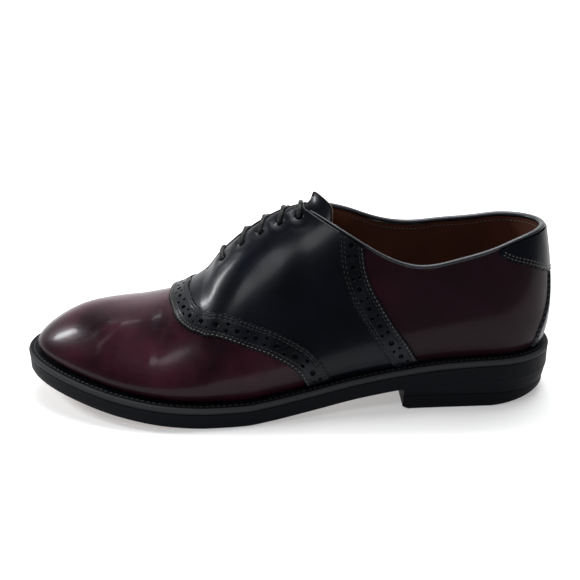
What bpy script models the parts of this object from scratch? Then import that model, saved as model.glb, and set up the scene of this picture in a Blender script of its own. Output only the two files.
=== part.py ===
"""A man's left saddle shoe, welted and empty, standing on its sole.

Metres, +Z up. The toe points to -X and the outer (lateral) side faces -Y. The origin is on the floor,
under the middle of the heel. Every piece is worked out from one last: a table of sections gives its
plan, crest and fullness, ribs run from the feather edge up to the crest, and the uppers are cut
between two skins of that surface.
"""

import math
from collections import namedtuple

import bmesh
import bpy
from mathutils import Matrix, Vector

# Last
LAST_LENGTH = 0.2856
BALL_WIDTH = 0.094
INSTEP_HEIGHT = 0.106
HEEL_FAN = 0.115
TOE_FAN = 0.68
FAN_REACH = 0.45
TOE_ROUNDNESS = 2.2
HEEL_ROUNDNESS = 2.15

# Bottom stack
SEAT_RISE = 0.0175
TOE_SPRING = 0.0138
SPRING_START = 0.655
OUTSOLE_THICKNESS = 0.0083
WELT_THICKNESS = 0.0034
INSOLE_THICKNESS = 0.0042
WELT_EDGE_ROUND = 0.0008
OUTSOLE_EDGE_ROUND = 0.0010
WELT_MARGIN = 0.0072
WELT_INNER_EDGE = 0.0028
HEEL_LENGTH = 0.0860
HEEL_CENTRE = 0.0450
HEEL_TAPER = 0.0018
TOP_LIFT_THICKNESS = 0.0078
HEEL_LIFTS = 3
LIFT_GROOVE = 0.0003
LIFT_GROOVE_WIDTH = 0.0008
HEEL_WEAR = 0.0066
HEEL_WEAR_REACH = 0.0375

# Upper
WALL = 0.0022
SKIN_GAP = 0.0003
SADDLE_THICKNESS = 0.0011
STRIP_STEP = 0.0007
STRIP_WIDTH = 0.0138
STRIP_GAP = 0.0006
OVERLAY_FOOT = 0.02
OVERLAY_CUT_BELOW = 0.0008
OVERLAY_CUT_ABOVE = 0.0035
TAB_THICKNESS = 0.0011
SLIT_FRONT = 0.658
FACING_TOP = 0.464
HALF_GAP_FRONT = 0.0012
HALF_GAP_TOP = 0.0044
BINDING_WIDTH = 0.0034
BINDING_HEIGHT = 0.0024

# Lacing
EYELETS = 5
EYELET_RADIUS = 0.0017
EYELET_INSET = 0.0088
EYELET_TOP_MARGIN = 0.0045
EYELET_FRONT_MARGIN = 0.0135
LACE_RADIUS = 0.0012
LACE_CLEARANCE = 0.0005
LACE_SIDES = 6
TONGUE_THICKNESS = 0.0018
TONGUE_HALF_WIDTH = 0.0260
TONGUE_FRONT = 0.715
TONGUE_FRONT_WIDTH = 0.72
TONGUE_WIDENS_BY = 0.71
TONGUE_CLEAR_MIDDLE = 0.0008
TONGUE_CLEAR_SIDE = 0.0062
TONGUE_CLEAR_REACH = 0.53
TONGUE_END_SLOPE = 0.25
TONGUE_CLEARANCE = 0.0007

# Clearance between neighbouring pieces
GAP = 0.0003

# Facets
HEEL_RIBS = 7
QUARTER_RIBS = 7
FACING_RIBS = 5
VAMP_RIBS = 2
TOE_RIBS = 11
UPPER_ROWS = 10
BAND_ROWS = 12
TONGUE_ROWS = 9
TONGUE_COLUMNS = (1.0, 0.76, 0.56, 0.41, 0.27, 0.13, 0.0)
BAND_COLUMNS = 4

# How far the searches for a point look: radians down from the crest, and places along the last.
SEARCH_TURN = 1.3
SEARCH_PLACES = 0.4
SLOPE_REACH = 0.02

LATERAL = -1
MEDIAL = 1

# share: along the last from heel to toe. lateral, medial: half widths of the feather edge before its ends
# close, axis: how far the centre line swings to the medial side, ridge: how far the crest lies from that
# line, out_lateral, out_medial: how far the wall swells past the feather edge; all shares of BALL_WIDTH.
# crest: height of the closed last, a share of INSTEP_HEIGHT. full: how square the section is. out_at:
# the share of the section's height where the wall swells most.
Section = namedtuple(
    "Section", "share lateral medial axis ridge crest full out_lateral out_medial out_at"
)
SECTIONS = (
    Section(0.00, 0.303, 0.303, 0.000, 0.000, 1.260, 1.85, 0.040, 0.040, 0.30),
    Section(0.11, 0.312, 0.306, 0.000, 0.000, 1.260, 1.95, 0.046, 0.050, 0.24),
    Section(0.25, 0.326, 0.288, 0.000, 0.010, 1.240, 1.90, 0.050, 0.046, 0.18),
    Section(0.36, 0.356, 0.266, 0.000, 0.020, 1.170, 1.85, 0.052, 0.034, 0.16),
    Section(0.46, 0.416, 0.278, 0.000, 0.030, 1.030, 1.80, 0.050, 0.026, 0.16),
    Section(0.51, 0.446, 0.298, 0.000, 0.030, 0.978, 1.82, 0.046, 0.026, 0.17),
    Section(0.56, 0.474, 0.328, 0.000, 0.030, 0.896, 1.86, 0.042, 0.026, 0.18),
    Section(0.60, 0.494, 0.366, 0.000, 0.028, 0.815, 1.92, 0.039, 0.028, 0.19),
    Section(0.63, 0.504, 0.390, 0.000, 0.028, 0.738, 1.96, 0.037, 0.029, 0.20),
    Section(0.66, 0.510, 0.415, 0.000, 0.026, 0.645, 1.96, 0.036, 0.030, 0.20),
    Section(0.73, 0.516, 0.480, 0.002, 0.018, 0.540, 2.00, 0.036, 0.032, 0.20),
    Section(0.81, 0.502, 0.508, 0.010, 0.010, 0.494, 2.10, 0.034, 0.032, 0.20),
    Section(0.90, 0.458, 0.490, 0.022, 0.004, 0.483, 2.25, 0.032, 0.030, 0.20),
    Section(1.00, 0.404, 0.447, 0.036, 0.000, 0.440, 2.30, 0.030, 0.030, 0.20),
)

# rise: height of the outsole's underside, a share of SEAT_RISE, up to where the toe springs.
Tread = namedtuple("Tread", "share rise")
TREAD = (
    Tread(-0.03, 1.00),
    Tread(0.10, 0.96),
    Tread(0.20, 0.88),
    Tread(0.28, 0.73),
    Tread(0.38, 0.49),
    Tread(0.47, 0.25),
    Tread(0.54, 0.07),
    Tread(0.58, 0.00),
    Tread(0.66, 0.00),
)

# lateral, medial: how far the welt stands out past the feather edge, shares of WELT_MARGIN.
Margin = namedtuple("Margin", "share lateral medial")
MARGINS = (
    Margin(0.00, 0.72, 0.72),
    Margin(0.20, 0.84, 0.78),
    Margin(0.42, 0.94, 0.62),
    Margin(0.62, 1.00, 0.90),
    Margin(0.80, 1.00, 1.00),
    Margin(1.00, 1.08, 1.08),
)

# lateral, medial: height of the topline above the floor, shares of INSTEP_HEIGHT.
Topline = namedtuple("Topline", "share lateral medial")
TOPLINE = (
    Topline(0.02, 0.893, 0.893),
    Topline(0.07, 0.868, 0.886),
    Topline(0.145, 0.797, 0.860),
    Topline(0.20, 0.763, 0.856),
    Topline(0.24, 0.735, 0.842),
    Topline(0.27, 0.742, 0.846),
    Topline(0.31, 0.777, 0.864),
    Topline(0.36, 0.850, 0.916),
    Topline(0.40, 0.916, 0.962),
    Topline(0.45, 0.984, 0.990),
    Topline(0.464, 1.000, 1.002),
)

# Edges of the saddle, as places along the last (1 to 2 is the waist, 2 to 3 the toe), for each share of
# the way up from the feather edge to the top.
Edge = namedtuple("Edge", "up front rear")
SADDLE_EDGES = (
    Edge(0.00, 1.618, 1.233),
    Edge(0.10, 1.650, 1.253),
    Edge(0.20, 1.735, 1.270),
    Edge(0.30, 1.855, 1.290),
    Edge(0.40, 1.945, 1.318),
    Edge(0.50, 2.016, 1.342),
    Edge(0.60, 2.072, 1.369),
    Edge(0.75, 2.130, 1.408),
    Edge(0.88, 2.190, 1.424),
    Edge(1.00, 2.235, 1.428),
)

# Lower edge of the heel tab, from the back seam (0) to where it meets the topline (1).
TabEdge = namedtuple("TabEdge", "along up")
TAB_EDGE = (
    TabEdge(0.00, 0.590),
    TabEdge(0.20, 0.612),
    TabEdge(0.40, 0.668),
    TabEdge(0.68, 0.762),
    TabEdge(0.87, 0.842),
    TabEdge(1.00, 0.935),
)
TAB_REACH = 0.97

# place: how far round from the back seam the backstay reaches at a share of the upper's height.
Backstay = namedtuple("Backstay", "up place")
BACKSTAY = (
    Backstay(0.00, 0.50),
    Backstay(0.15, 0.46),
    Backstay(0.28, 0.36),
    Backstay(0.40, 0.27),
    Backstay(0.60, 0.20),
)

# past: how far a row of the tongue's end lies beyond the facings' top at the middle, sweep: how much
# further at its sides. rise: how far it stands up at the middle. hump: how far from the middle it stops
# standing up, a share of TONGUE_HALF_WIDTH.
TongueEnd = namedtuple("TongueEnd", "past sweep rise hump")
TONGUE_END = (
    TongueEnd(0.0000, 0.0000, 0.0000, 0.40),
    TongueEnd(0.0006, 0.0015, 0.0030, 0.44),
    TongueEnd(0.0006, 0.0040, 0.0058, 0.50),
    TongueEnd(0.0002, 0.0075, 0.0070, 0.56),
)

BURGUNDY = (0.060, 0.010, 0.016)
BLACK = (0.010, 0.011, 0.014)
TAN = (0.150, 0.062, 0.026)


def between(a, b, share):
    return a + (b - a) * share


def table_value(rows, column, share, key="share"):
    """Smooth value of one column of a table, with no overshoot between its rows."""
    xs = [getattr(row, key) for row in rows]
    ys = [getattr(row, column) for row in rows]
    if share <= xs[0]:
        return ys[0]
    if share >= xs[-1]:
        return ys[-1]
    k = max(i for i in range(len(xs) - 1) if xs[i] <= share)
    steps = [(ys[i + 1] - ys[i]) / (xs[i + 1] - xs[i]) for i in range(len(xs) - 1)]

    def slope(i):
        if i == 0 or i == len(xs) - 1:
            return steps[min(i, len(steps) - 1)]
        before, after = steps[i - 1], steps[i]
        return 0.0 if before * after <= 0 else 2 * before * after / (before + after)

    width = xs[k + 1] - xs[k]
    t = (share - xs[k]) / width
    return (
        ys[k] * (1 + 2 * t) * (1 - t) ** 2
        + slope(k) * width * t * (1 - t) ** 2
        + ys[k + 1] * t * t * (3 - 2 * t)
        + slope(k + 1) * width * t * t * (t - 1)
    )


def section(column, share):
    return table_value(SECTIONS, column, share)


def solve(f, low, high, steps=40):
    """Where the rising function f crosses zero."""
    for _ in range(steps):
        middle = (low + high) / 2
        if f(middle) < 0:
            low = middle
        else:
            high = middle
    return (low + high) / 2


def margin(share, side):
    column = "lateral" if side == LATERAL else "medial"
    return WELT_MARGIN * table_value(MARGINS, column, share)


FEATHER_BACK = HEEL_CENTRE - margin(0.0, LATERAL)


def x_at(share):
    return FEATHER_BACK - share * LAST_LENGTH


def share_at(x):
    return (FEATHER_BACK - x) / LAST_LENGTH


def tread(x):
    """Height of the outsole's underside at x."""
    share = share_at(x)
    spring = max(0.0, (share - SPRING_START) / (1 - SPRING_START))
    return SEAT_RISE * table_value(TREAD, "rise", share) + TOE_SPRING * spring**1.4


def welt_top(x):
    return tread(x) + OUTSOLE_THICKNESS + GAP + WELT_THICKNESS


def feather_height(x):
    return welt_top(x) + GAP


def crest(share):
    return INSTEP_HEIGHT * section("crest", share)


Rib = namedtuple("Rib", "foot share closing")


def rib(place):
    """The rib at a place on one side: 0 to 1 round the heel, 1 to 2 along the waist, 2 to 3 round the toe.

    share is where its feather point lies, foot where it meets the crest, closing how far the plan narrows.
    """
    if place < 1:
        turn = math.sin((1 - place) * math.pi / 2)
        closing = max(0.0, 1 - turn**HEEL_ROUNDNESS) ** (1 / HEEL_ROUNDNESS)
        return Rib(HEEL_FAN * (1 - FAN_REACH * turn), HEEL_FAN * (1 - turn), closing)
    if place <= 2:
        share = between(HEEL_FAN, TOE_FAN, place - 1)
        return Rib(share, share, 1.0)
    turn = math.sin((place - 2) * math.pi / 2)
    closing = max(0.0, 1 - turn**TOE_ROUNDNESS) ** (1 / TOE_ROUNDNESS)
    reach = 1 - TOE_FAN
    return Rib(TOE_FAN + reach * FAN_REACH * turn, TOE_FAN + reach * turn, closing)


def feather(place, side):
    """Plan position of the feather edge."""
    r = rib(place)
    half = section("lateral" if side == LATERAL else "medial", r.share)
    y = section("axis", r.share) + side * half * r.closing
    return Vector((x_at(r.share), BALL_WIDTH * y))


def outward(place, side):
    """Plan direction square to the feather edge, away from the foot."""
    if place < 1e-6:
        return Vector((1.0, 0.0))
    if place > 3 - 1e-6:
        return Vector((-1.0, 0.0))
    reach = 0.01
    along = feather(min(3.0, place + reach), side) - feather(max(0.0, place - reach), side)
    return Vector((along.y, -along.x)).normalized() * side


def last_point(place, side, angle):
    """Point of the last: angle 0 is the feather edge and a right angle the crest."""
    r = rib(place)
    edge = feather(place, side)
    foot = Vector((x_at(r.foot), BALL_WIDTH * (section("axis", r.foot) + section("ridge", r.foot))))
    full = section("full", r.share)
    run = math.cos(angle) ** (2 / full) if angle < math.pi / 2 else 0.0
    rise = math.sin(angle) ** (2 / full) if angle > 0 else 0.0
    at = section("out_at", r.share)
    out = section("out_lateral" if side == LATERAL else "out_medial", r.share)
    swell = BALL_WIDTH * out * (rise / at) * math.exp(1 - rise / at) * (1 - rise**3)
    ray = edge - foot
    plan = foot + ray * run + ray.normalized() * swell
    low = feather_height(edge.x)
    return Vector((plan.x, plan.y, low + (crest(share_at(plan.x)) - low) * rise))


def slit_opens(place):
    return rib(place).foot < SLIT_FRONT - 1e-6


def top_angle(place, side):
    """How far up a rib the upper reaches: the crest, the slit's edge or the topline."""
    if not slit_opens(place):
        return math.pi / 2
    r = rib(place)
    centre = BALL_WIDTH * (section("axis", r.foot) + section("ridge", r.foot))
    opened = min(1.0, (SLIT_FRONT - r.foot) / (SLIT_FRONT - FACING_TOP))
    half_gap = between(HALF_GAP_FRONT, HALF_GAP_TOP, opened)
    column = "lateral" if side == LATERAL else "medial"

    def beyond_gap(angle):
        return half_gap - abs(last_point(place, side, angle).y - centre)

    def above_topline(angle):
        point = last_point(place, side, angle)
        return point.z - INSTEP_HEIGHT * table_value(TOPLINE, column, share_at(point.x))

    at_gap = solve(beyond_gap, 0.3, math.pi / 2) if r.foot > HEEL_FAN + 0.02 else math.pi / 2
    if r.foot > FACING_TOP + 0.001:
        return at_gap
    return min(at_gap, solve(above_topline, 0.1, math.pi / 2))


def skin(place, side, up):
    """Point of the last that lies a share of the way up its rib to the upper's top edge."""
    return last_point(place, side, up * top_angle(place, side))


def skin_normal(place, side, up):
    """Outward normal of the last there."""
    low, high = max(0.0, up - SLOPE_REACH), min(1.0, up + SLOPE_REACH)
    rise = skin(place, side, high) - skin(place, side, low)
    ahead, behind = min(3.0, place + SLOPE_REACH), max(0.0, place - SLOPE_REACH)
    top = top_angle(place, side)
    along = last_point(ahead, side, up * top) - last_point(behind, side, up * top)
    return along.cross(rise).normalized() * side


def spread(low, high, count):
    """count + 1 even values from low to high."""
    return [between(low, high, i / count) for i in range(count + 1)]


def waist_place(share):
    return 1 + (share - HEEL_FAN) / (TOE_FAN - HEEL_FAN)


def material(name, colour, roughness, metallic=0.0):
    made = bpy.data.materials.get(name) or bpy.data.materials.new(name)
    made.use_nodes = True
    shader = made.node_tree.nodes["Principled BSDF"]
    shader.inputs["Base Color"].default_value = (*colour, 1.0)
    shader.inputs["Roughness"].default_value = roughness
    shader.inputs["Metallic"].default_value = metallic
    return made


def add_object(name, bm, finish):
    bmesh.ops.recalc_face_normals(bm, faces=bm.faces)
    if bm.calc_volume(signed=True) < 0:
        bmesh.ops.reverse_faces(bm, faces=bm.faces)
    mesh = bpy.data.meshes.new(name)
    bm.to_mesh(mesh)
    bm.free()
    mesh.materials.append(finish)
    mesh.shade_smooth()
    mesh.set_sharp_from_angle(angle=math.radians(35))
    made = bpy.data.objects.new(name, mesh)
    bpy.context.scene.collection.objects.link(made)
    return made


def thickened(sheet, inner, outer):
    """A closed solid between two offsets of a sheet."""
    sheet.normal_update()
    solid = bmesh.new()
    below, above = {}, {}
    for vert in sheet.verts:
        below[vert] = solid.verts.new(vert.co + vert.normal * inner)
        above[vert] = solid.verts.new(vert.co + vert.normal * outer)
    for face in sheet.faces:
        solid.faces.new([above[v] for v in face.verts])
        solid.faces.new([below[v] for v in reversed(face.verts)])
    for edge in sheet.edges:
        if edge.is_boundary:
            loop = edge.link_loops[0]
            a, b = loop.vert, loop.link_loop_next.vert
            solid.faces.new([above[b], above[a], below[a], below[b]])
    sheet.free()
    return solid


def grid_sheet(grids):
    """One sheet from grids of points, each row a list, with the points that coincide joined."""
    sheet = bmesh.new()
    for rows in grids:
        made = [[sheet.verts.new(point) for point in row] for row in rows]
        for low, high in zip(made, made[1:]):
            for i in range(len(low) - 1):
                sheet.faces.new([low[i], low[i + 1], high[i + 1], high[i]])
    bmesh.ops.remove_doubles(sheet, verts=sheet.verts, dist=1e-6)
    bmesh.ops.dissolve_degenerate(sheet, edges=sheet.edges, dist=1e-7)
    bmesh.ops.recalc_face_normals(sheet, faces=sheet.faces)
    sheet.normal_update()
    facing_out = 0.0
    for face in sheet.faces:
        spot = face.calc_center_median()
        facing_out += face.normal.dot(Vector((0.0, spot.y, spot.z - INSTEP_HEIGHT / 2)))
    if facing_out < 0:
        bmesh.ops.reverse_faces(sheet, faces=sheet.faces)
    return sheet


def upper_places():
    """Ribs of the upper, set so that one falls on the slit's front and one on the facing's top corner."""
    heel = spread(0.0, 1.0, HEEL_RIBS)
    quarter = spread(1.0, waist_place(FACING_TOP), QUARTER_RIBS)
    facing = spread(waist_place(FACING_TOP), waist_place(SLIT_FRONT), FACING_RIBS)
    vamp = spread(waist_place(SLIT_FRONT), 2.0, VAMP_RIBS)
    toe = spread(2.0, 3.0, TOE_RIBS)
    return heel + quarter[1:] + facing[1:] + vamp[1:] + toe[1:]


def upper_sheet(low=0.0, high=3.0, sides=(LATERAL, MEDIAL)):
    """The upper's outer face, or the part of it between two places."""
    places = [place for place in upper_places() if low - 1e-9 <= place <= high + 1e-9]
    ups = spread(0.0, 1.0, UPPER_ROWS)
    return grid_sheet([[[skin(p, side, up) for up in ups] for p in places] for side in sides])


def build_upper(finish):
    return add_object("upper", thickened(upper_sheet(), -WALL, 0.0), finish)


def strip_reach(up, side, column, width):
    """How many places in from an edge of the saddle lies, at this height, the line at this distance."""
    inward = -1 if column == "front" else 1
    low, high = max(0.0, up - SLOPE_REACH), min(1.0, up + SLOPE_REACH)
    start = table_value(SADDLE_EDGES, column, up, "up")
    ends = [skin(table_value(SADDLE_EDGES, column, u, "up"), side, u) for u in (low, high)]
    along_edge = (ends[1] - ends[0]).normalized()
    angle = up * top_angle(start, side)
    here = last_point(start, side, angle)

    def past_width(reach):
        there = last_point(start + inward * reach, side, angle)
        return (there - here).cross(along_edge).length - width

    return inward * solve(past_width, 0.0, SEARCH_PLACES)


def saddle_line(column, inset):
    """A line inside the front or rear edge of the saddle, as a place for each height."""

    def place_at(up, side):
        up = min(up, 1.0)
        side = LATERAL if up > 0.999 else side
        edge = table_value(SADDLE_EDGES, column, up, "up")
        return edge if inset == 0 else edge + strip_reach(up, side, column, inset)

    return place_at


def band(front, rear, sides=(LATERAL, MEDIAL)):
    """Sheet between two lines across the last, reaching past the upper's top edge."""
    ups = spread(OVERLAY_FOOT, 1.0, BAND_ROWS) + [1.05]
    grids = []
    for side in sides:
        rows = []
        for up in ups:
            places = spread(front(up, side), rear(up, side), BAND_COLUMNS)
            rows.append([last_point(p, side, min(math.pi / 2, up * top_angle(p, side))) for p in places])
        grids.append(rows)
    return grid_sheet(grids)


def cut_with(made, operation, cutter):
    cutter.hide_render = True
    cutter.display_type = "WIRE"
    modifier = made.modifiers.new(cutter.name, "BOOLEAN")
    modifier.operation = operation
    modifier.solver = "EXACT"
    modifier.object = cutter


def laid_over(name, finish, thickness, region, low, high, sides=(LATERAL, MEDIAL)):
    """A piece over the upper: what a region cuts out of a shell between two offsets of its face."""
    shell = thickened(upper_sheet(low, high, sides), SKIN_GAP, SKIN_GAP + thickness)
    made = add_object(name, shell, finish)
    cutter = add_object(f"{name}_cutter", thickened(region, -OVERLAY_CUT_BELOW, OVERLAY_CUT_ABOVE), finish)
    cut_with(made, "INTERSECT", cutter)
    return made


def build_saddle(leather, strips):
    """The black saddle between its two strips, which stand higher than it."""
    inset = STRIP_WIDTH + STRIP_GAP
    front, rear = saddle_line("front", 0.0), saddle_line("rear", 0.0)
    middle = band(saddle_line("front", inset), saddle_line("rear", inset))
    saddle = laid_over("saddle", leather, SADDLE_THICKNESS, middle, 1.15, 2.35)
    ahead = band(front, saddle_line("front", STRIP_WIDTH))
    laid_over("vamp_strip", strips, SADDLE_THICKNESS + STRIP_STEP, ahead, 1.45, 2.4)
    for name, side in (("quarter_strip_outer", LATERAL), ("quarter_strip_inner", MEDIAL)):
        behind = band(saddle_line("rear", STRIP_WIDTH), rear, (side,))
        laid_over(name, strips, SADDLE_THICKNESS + STRIP_STEP, behind, 1.0, 1.62, (side,))
    return saddle


def build_heel_tab(finish):
    """The small black piece over the top of the back seam."""
    grids = []
    for side in (LATERAL, MEDIAL):
        rows = []
        for share in spread(0.0, 1.0, 9):
            place = share * TAB_REACH
            start = table_value(TAB_EDGE, "up", share, "along")
            rows.append([skin(place, side, up) for up in spread(start, 1.06, 4)])
        grids.append(rows)
    return laid_over("heel_tab", finish, TAB_THICKNESS, grid_sheet(grids), 0.0, 1.2)


def build_backstay(finish):
    """The strip down the back seam, under the heel tab, wider towards the welt."""
    top = TAB_EDGE[0].up - 0.004
    grids = []
    for side in (LATERAL, MEDIAL):
        rows = []
        for up in spread(OVERLAY_FOOT, top, 9):
            reach = table_value(BACKSTAY, "place", up, "up")
            rows.append([skin(reach * share, side, up) for share in spread(0.0, 1.0, 4)])
        grids.append(rows)
    return laid_over("backstay", finish, TAB_THICKNESS, grid_sheet(grids), 0.0, 0.75)


def tube_between(rings, closed):
    """A solid through rings of points, joined end to start when closed, capped otherwise."""
    bm = bmesh.new()
    made = [[bm.verts.new(point) for point in ring] for ring in rings]
    pairs = list(zip(made, made[1:]))
    if closed:
        pairs.append((made[-1], made[0]))
    else:
        bm.faces.new(made[0])
        bm.faces.new(list(reversed(made[-1])))
    for first, second in pairs:
        for i in range(len(first)):
            j = (i + 1) % len(first)
            bm.faces.new([first[i], second[i], second[j], first[j]])
    return bm


def build_binding(finish):
    """The bead round the collar, from one facing's top corner round the heel to the other's."""
    places = [p for p in upper_places() if rib(p).foot < FACING_TOP - 0.004]
    stations = [(p, LATERAL) for p in reversed(places)] + [(p, MEDIAL) for p in places[1:]]
    rings = []
    for place, side in stations:
        edge = skin(place, side, 1.0)
        out = skin_normal(place, side, 1.0)
        rise = (edge - skin(place, side, 0.94)).normalized()
        centre = edge - out * (WALL / 2) + rise * (GAP + BINDING_HEIGHT / 2)
        ring = []
        for k in range(8):
            turn = 2 * math.pi * k / 8
            across = out * (math.cos(turn) * BINDING_WIDTH / 2)
            ring.append(centre + across + rise * (math.sin(turn) * BINDING_HEIGHT / 2))
        rings.append(ring)
    return add_object("collar_binding", tube_between(rings, False), finish)


def sole_places():
    return spread(0.0, 1.0, 7) + spread(1.0, 2.0, 12)[1:] + spread(2.0, 3.0, 11)[1:]


def rim(place, side, inset):
    """Plan position on the sole's edge, moved in by inset."""
    return feather(place, side) + outward(place, side) * (margin(rib(place).share, side) - inset)


def inside(place, side, inset):
    """Plan position moved in from the feather edge."""
    return feather(place, side) - outward(place, side) * inset


def ladder_solid(places, levels):
    """A solid whose outline runs round both sides, through levels of (plan function, height function)."""
    bm = bmesh.new()
    rings = []
    for plan, height in levels:
        pair = []
        for side in (LATERAL, MEDIAL):
            points = [plan(place, side) for place in places]
            pair.append([bm.verts.new((p.x, p.y, height(p.x, p.y))) for p in points])
        rings.append(pair)
    for (low_l, low_m), (high_l, high_m) in zip(rings, rings[1:]):
        for low, high in ((low_l, high_l), (low_m, high_m)):
            for i in range(len(low) - 1):
                bm.faces.new([low[i], low[i + 1], high[i + 1], high[i]])
        bm.faces.new([low_l[-1], low_m[-1], high_m[-1], high_l[-1]])
        bm.faces.new([low_l[0], low_m[0], high_m[0], high_l[0]])
    for lateral, medial in (rings[0], rings[-1]):
        for i in range(len(lateral) - 1):
            bm.faces.new([lateral[i], lateral[i + 1], medial[i + 1], medial[i]])
    bmesh.ops.remove_doubles(bm, verts=bm.verts, dist=1e-6)
    bmesh.ops.dissolve_degenerate(bm, edges=bm.edges, dist=1e-7)
    return bm


def build_outsole(finish):
    def at(inset):
        return lambda place, side: rim(place, side, inset)

    def rise(offset):
        return lambda x, y: tread(x) + offset

    top = OUTSOLE_THICKNESS
    levels = (
        (at(OUTSOLE_EDGE_ROUND), rise(0.0)),
        (at(0.0), rise(OUTSOLE_EDGE_ROUND)),
        (at(0.0), rise(top - OUTSOLE_EDGE_ROUND / 2)),
        (at(OUTSOLE_EDGE_ROUND / 2), rise(top)),
    )
    return add_object("outsole", ladder_solid(sole_places(), levels), finish)


def build_welt(finish):
    """The welt: a flat ring round the feather edge with a rounded outer rim."""
    low, top = OUTSOLE_THICKNESS + GAP, OUTSOLE_THICKNESS + GAP + WELT_THICKNESS
    stations = [(p, LATERAL) for p in sole_places()] + [(p, MEDIAL) for p in sole_places()[-2:0:-1]]
    rings = []
    for place, side in stations:
        corners = (
            (inside(place, side, WELT_INNER_EDGE), low),
            (rim(place, side, WELT_EDGE_ROUND), low),
            (rim(place, side, 0.0), low + WELT_EDGE_ROUND),
            (rim(place, side, 0.0), top - WELT_EDGE_ROUND),
            (rim(place, side, WELT_EDGE_ROUND), top),
            (inside(place, side, WELT_INNER_EDGE), top),
        )
        rings.append([Vector((p.x, p.y, tread(p.x) + height)) for p, height in corners])
    return add_object("welt", tube_between(rings, True), finish)


def build_insole(finish):
    def at(inset):
        return lambda place, side: inside(place, side, WELT_INNER_EDGE + GAP + inset)

    low = OUTSOLE_THICKNESS + GAP
    levels = (
        (at(0.0), lambda x, y: tread(x) + low),
        (at(0.0), lambda x, y: tread(x) + low + INSOLE_THICKNESS),
    )
    return add_object("insole", ladder_solid(sole_places(), levels), finish)


def heel_places():
    """Places from the back to the breast of the heel."""
    breast = waist_place(share_at(HEEL_CENTRE - HEEL_LENGTH))
    return spread(0.0, 1.0, 8) + spread(1.0, breast, 3)[1:]


def heel_plan(inset):
    """Outline of the heel at a level, drawn in from the sole's edge."""
    return lambda place, side: rim(place, side, inset)


def wear(x, y):
    """How much the floor has taken off the back of the heel, most at its outer corner."""
    from_back = HEEL_CENTRE - x
    share = max(0.0, 1 - from_back / HEEL_WEAR_REACH)
    outer = 0.5 - y / BALL_WIDTH
    return HEEL_WEAR * share**1.4 * max(0.35, min(1.0, 0.45 + 0.8 * outer))


def build_top_lift(finish):
    top = TOP_LIFT_THICKNESS
    edge = OUTSOLE_EDGE_ROUND
    levels = (
        (heel_plan(HEEL_TAPER + edge), lambda x, y: wear(x, y)),
        (heel_plan(HEEL_TAPER), lambda x, y: wear(x, y) * 0.9 + edge),
        (heel_plan(HEEL_TAPER), lambda x, y: top),
    )
    return add_object("top_lift", ladder_solid(heel_places(), levels), finish)


def build_heel(finish):
    """The stacked heel: lifts of leather between the top lift and the outsole, with a line at each joint."""
    base = TOP_LIFT_THICKNESS + GAP

    def height(share):
        return lambda x, y: between(base, tread(x) - GAP, share)

    levels = []
    for lift in range(HEEL_LIFTS):
        low, high = lift / HEEL_LIFTS, (lift + 1) / HEEL_LIFTS
        thickness = (SEAT_RISE - base) / HEEL_LIFTS
        edge = LIFT_GROOVE_WIDTH / 2 / thickness / HEEL_LIFTS
        low_inset, high_inset = HEEL_TAPER * (1 - low), HEEL_TAPER * (1 - high)
        levels.append((heel_plan(low_inset + LIFT_GROOVE), height(low)))
        levels.append((heel_plan(low_inset), height(low + edge)))
        levels.append((heel_plan(high_inset), height(high - edge)))
    levels.append((heel_plan(LIFT_GROOVE), height(1.0)))
    return add_object("heel", ladder_solid(heel_places(), levels), finish)


def edge_length(side):
    """Length of a facing's edge, from the slit's front to its top corner."""
    places = spread(waist_place(SLIT_FRONT), waist_place(FACING_TOP), 24)
    points = [skin(place, side, 1.0) for place in places]
    return sum((b - a).length for a, b in zip(points, points[1:]))


def eyelet(number, side):
    """(place, share up) of an eyelet, counted from the toe."""
    length = edge_length(side)
    wanted = between(EYELET_FRONT_MARGIN, length - EYELET_TOP_MARGIN, number / (EYELETS - 1))
    place = between(waist_place(SLIT_FRONT), waist_place(FACING_TOP), wanted / length)
    edge = skin(place, side, 1.0)
    up = solve(lambda share: EYELET_INSET - (skin(place, side, share) - edge).length, 0.5, 1.0)
    return place, up


def cut_eyelets(objects):
    """Cuts the lace holes through the given pieces."""
    bm = bmesh.new()
    depth = 4 * (WALL + SADDLE_THICKNESS)
    for side in (LATERAL, MEDIAL):
        for number in range(EYELETS):
            place, up = eyelet(number, side)
            turn = skin_normal(place, side, up).to_track_quat("Z", "Y").to_matrix().to_4x4()
            bmesh.ops.create_cone(
                bm,
                cap_ends=True,
                segments=8,
                radius1=EYELET_RADIUS,
                radius2=EYELET_RADIUS,
                depth=depth,
                matrix=Matrix.Translation(skin(place, side, up)) @ turn,
            )
    mesh = bpy.data.meshes.new("eyelet_cutter")
    bm.to_mesh(mesh)
    bm.free()
    cutter = bpy.data.objects.new("eyelet_cutter", mesh)
    bpy.context.scene.collection.objects.link(cutter)
    for made in objects:
        cut_with(made, "DIFFERENCE", cutter)


def tongue_point(foot, side, across):
    """Point of the last over the tongue, a share of its half width away from the crest."""
    place = waist_place(foot) if foot < TOE_FAN else tongue_toe_place(foot)
    share = (TONGUE_FRONT - foot) / (TONGUE_FRONT - FACING_TOP)
    half = TONGUE_HALF_WIDTH * between(TONGUE_FRONT_WIDTH, 1.0, min(1.0, share / TONGUE_WIDENS_BY))
    crest_point = last_point(place, side, math.pi / 2)

    def past(angle_down):
        return (last_point(place, side, math.pi / 2 - angle_down) - crest_point).length - across * half

    return last_point(place, side, math.pi / 2 - solve(past, 0.0, SEARCH_TURN))


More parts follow.
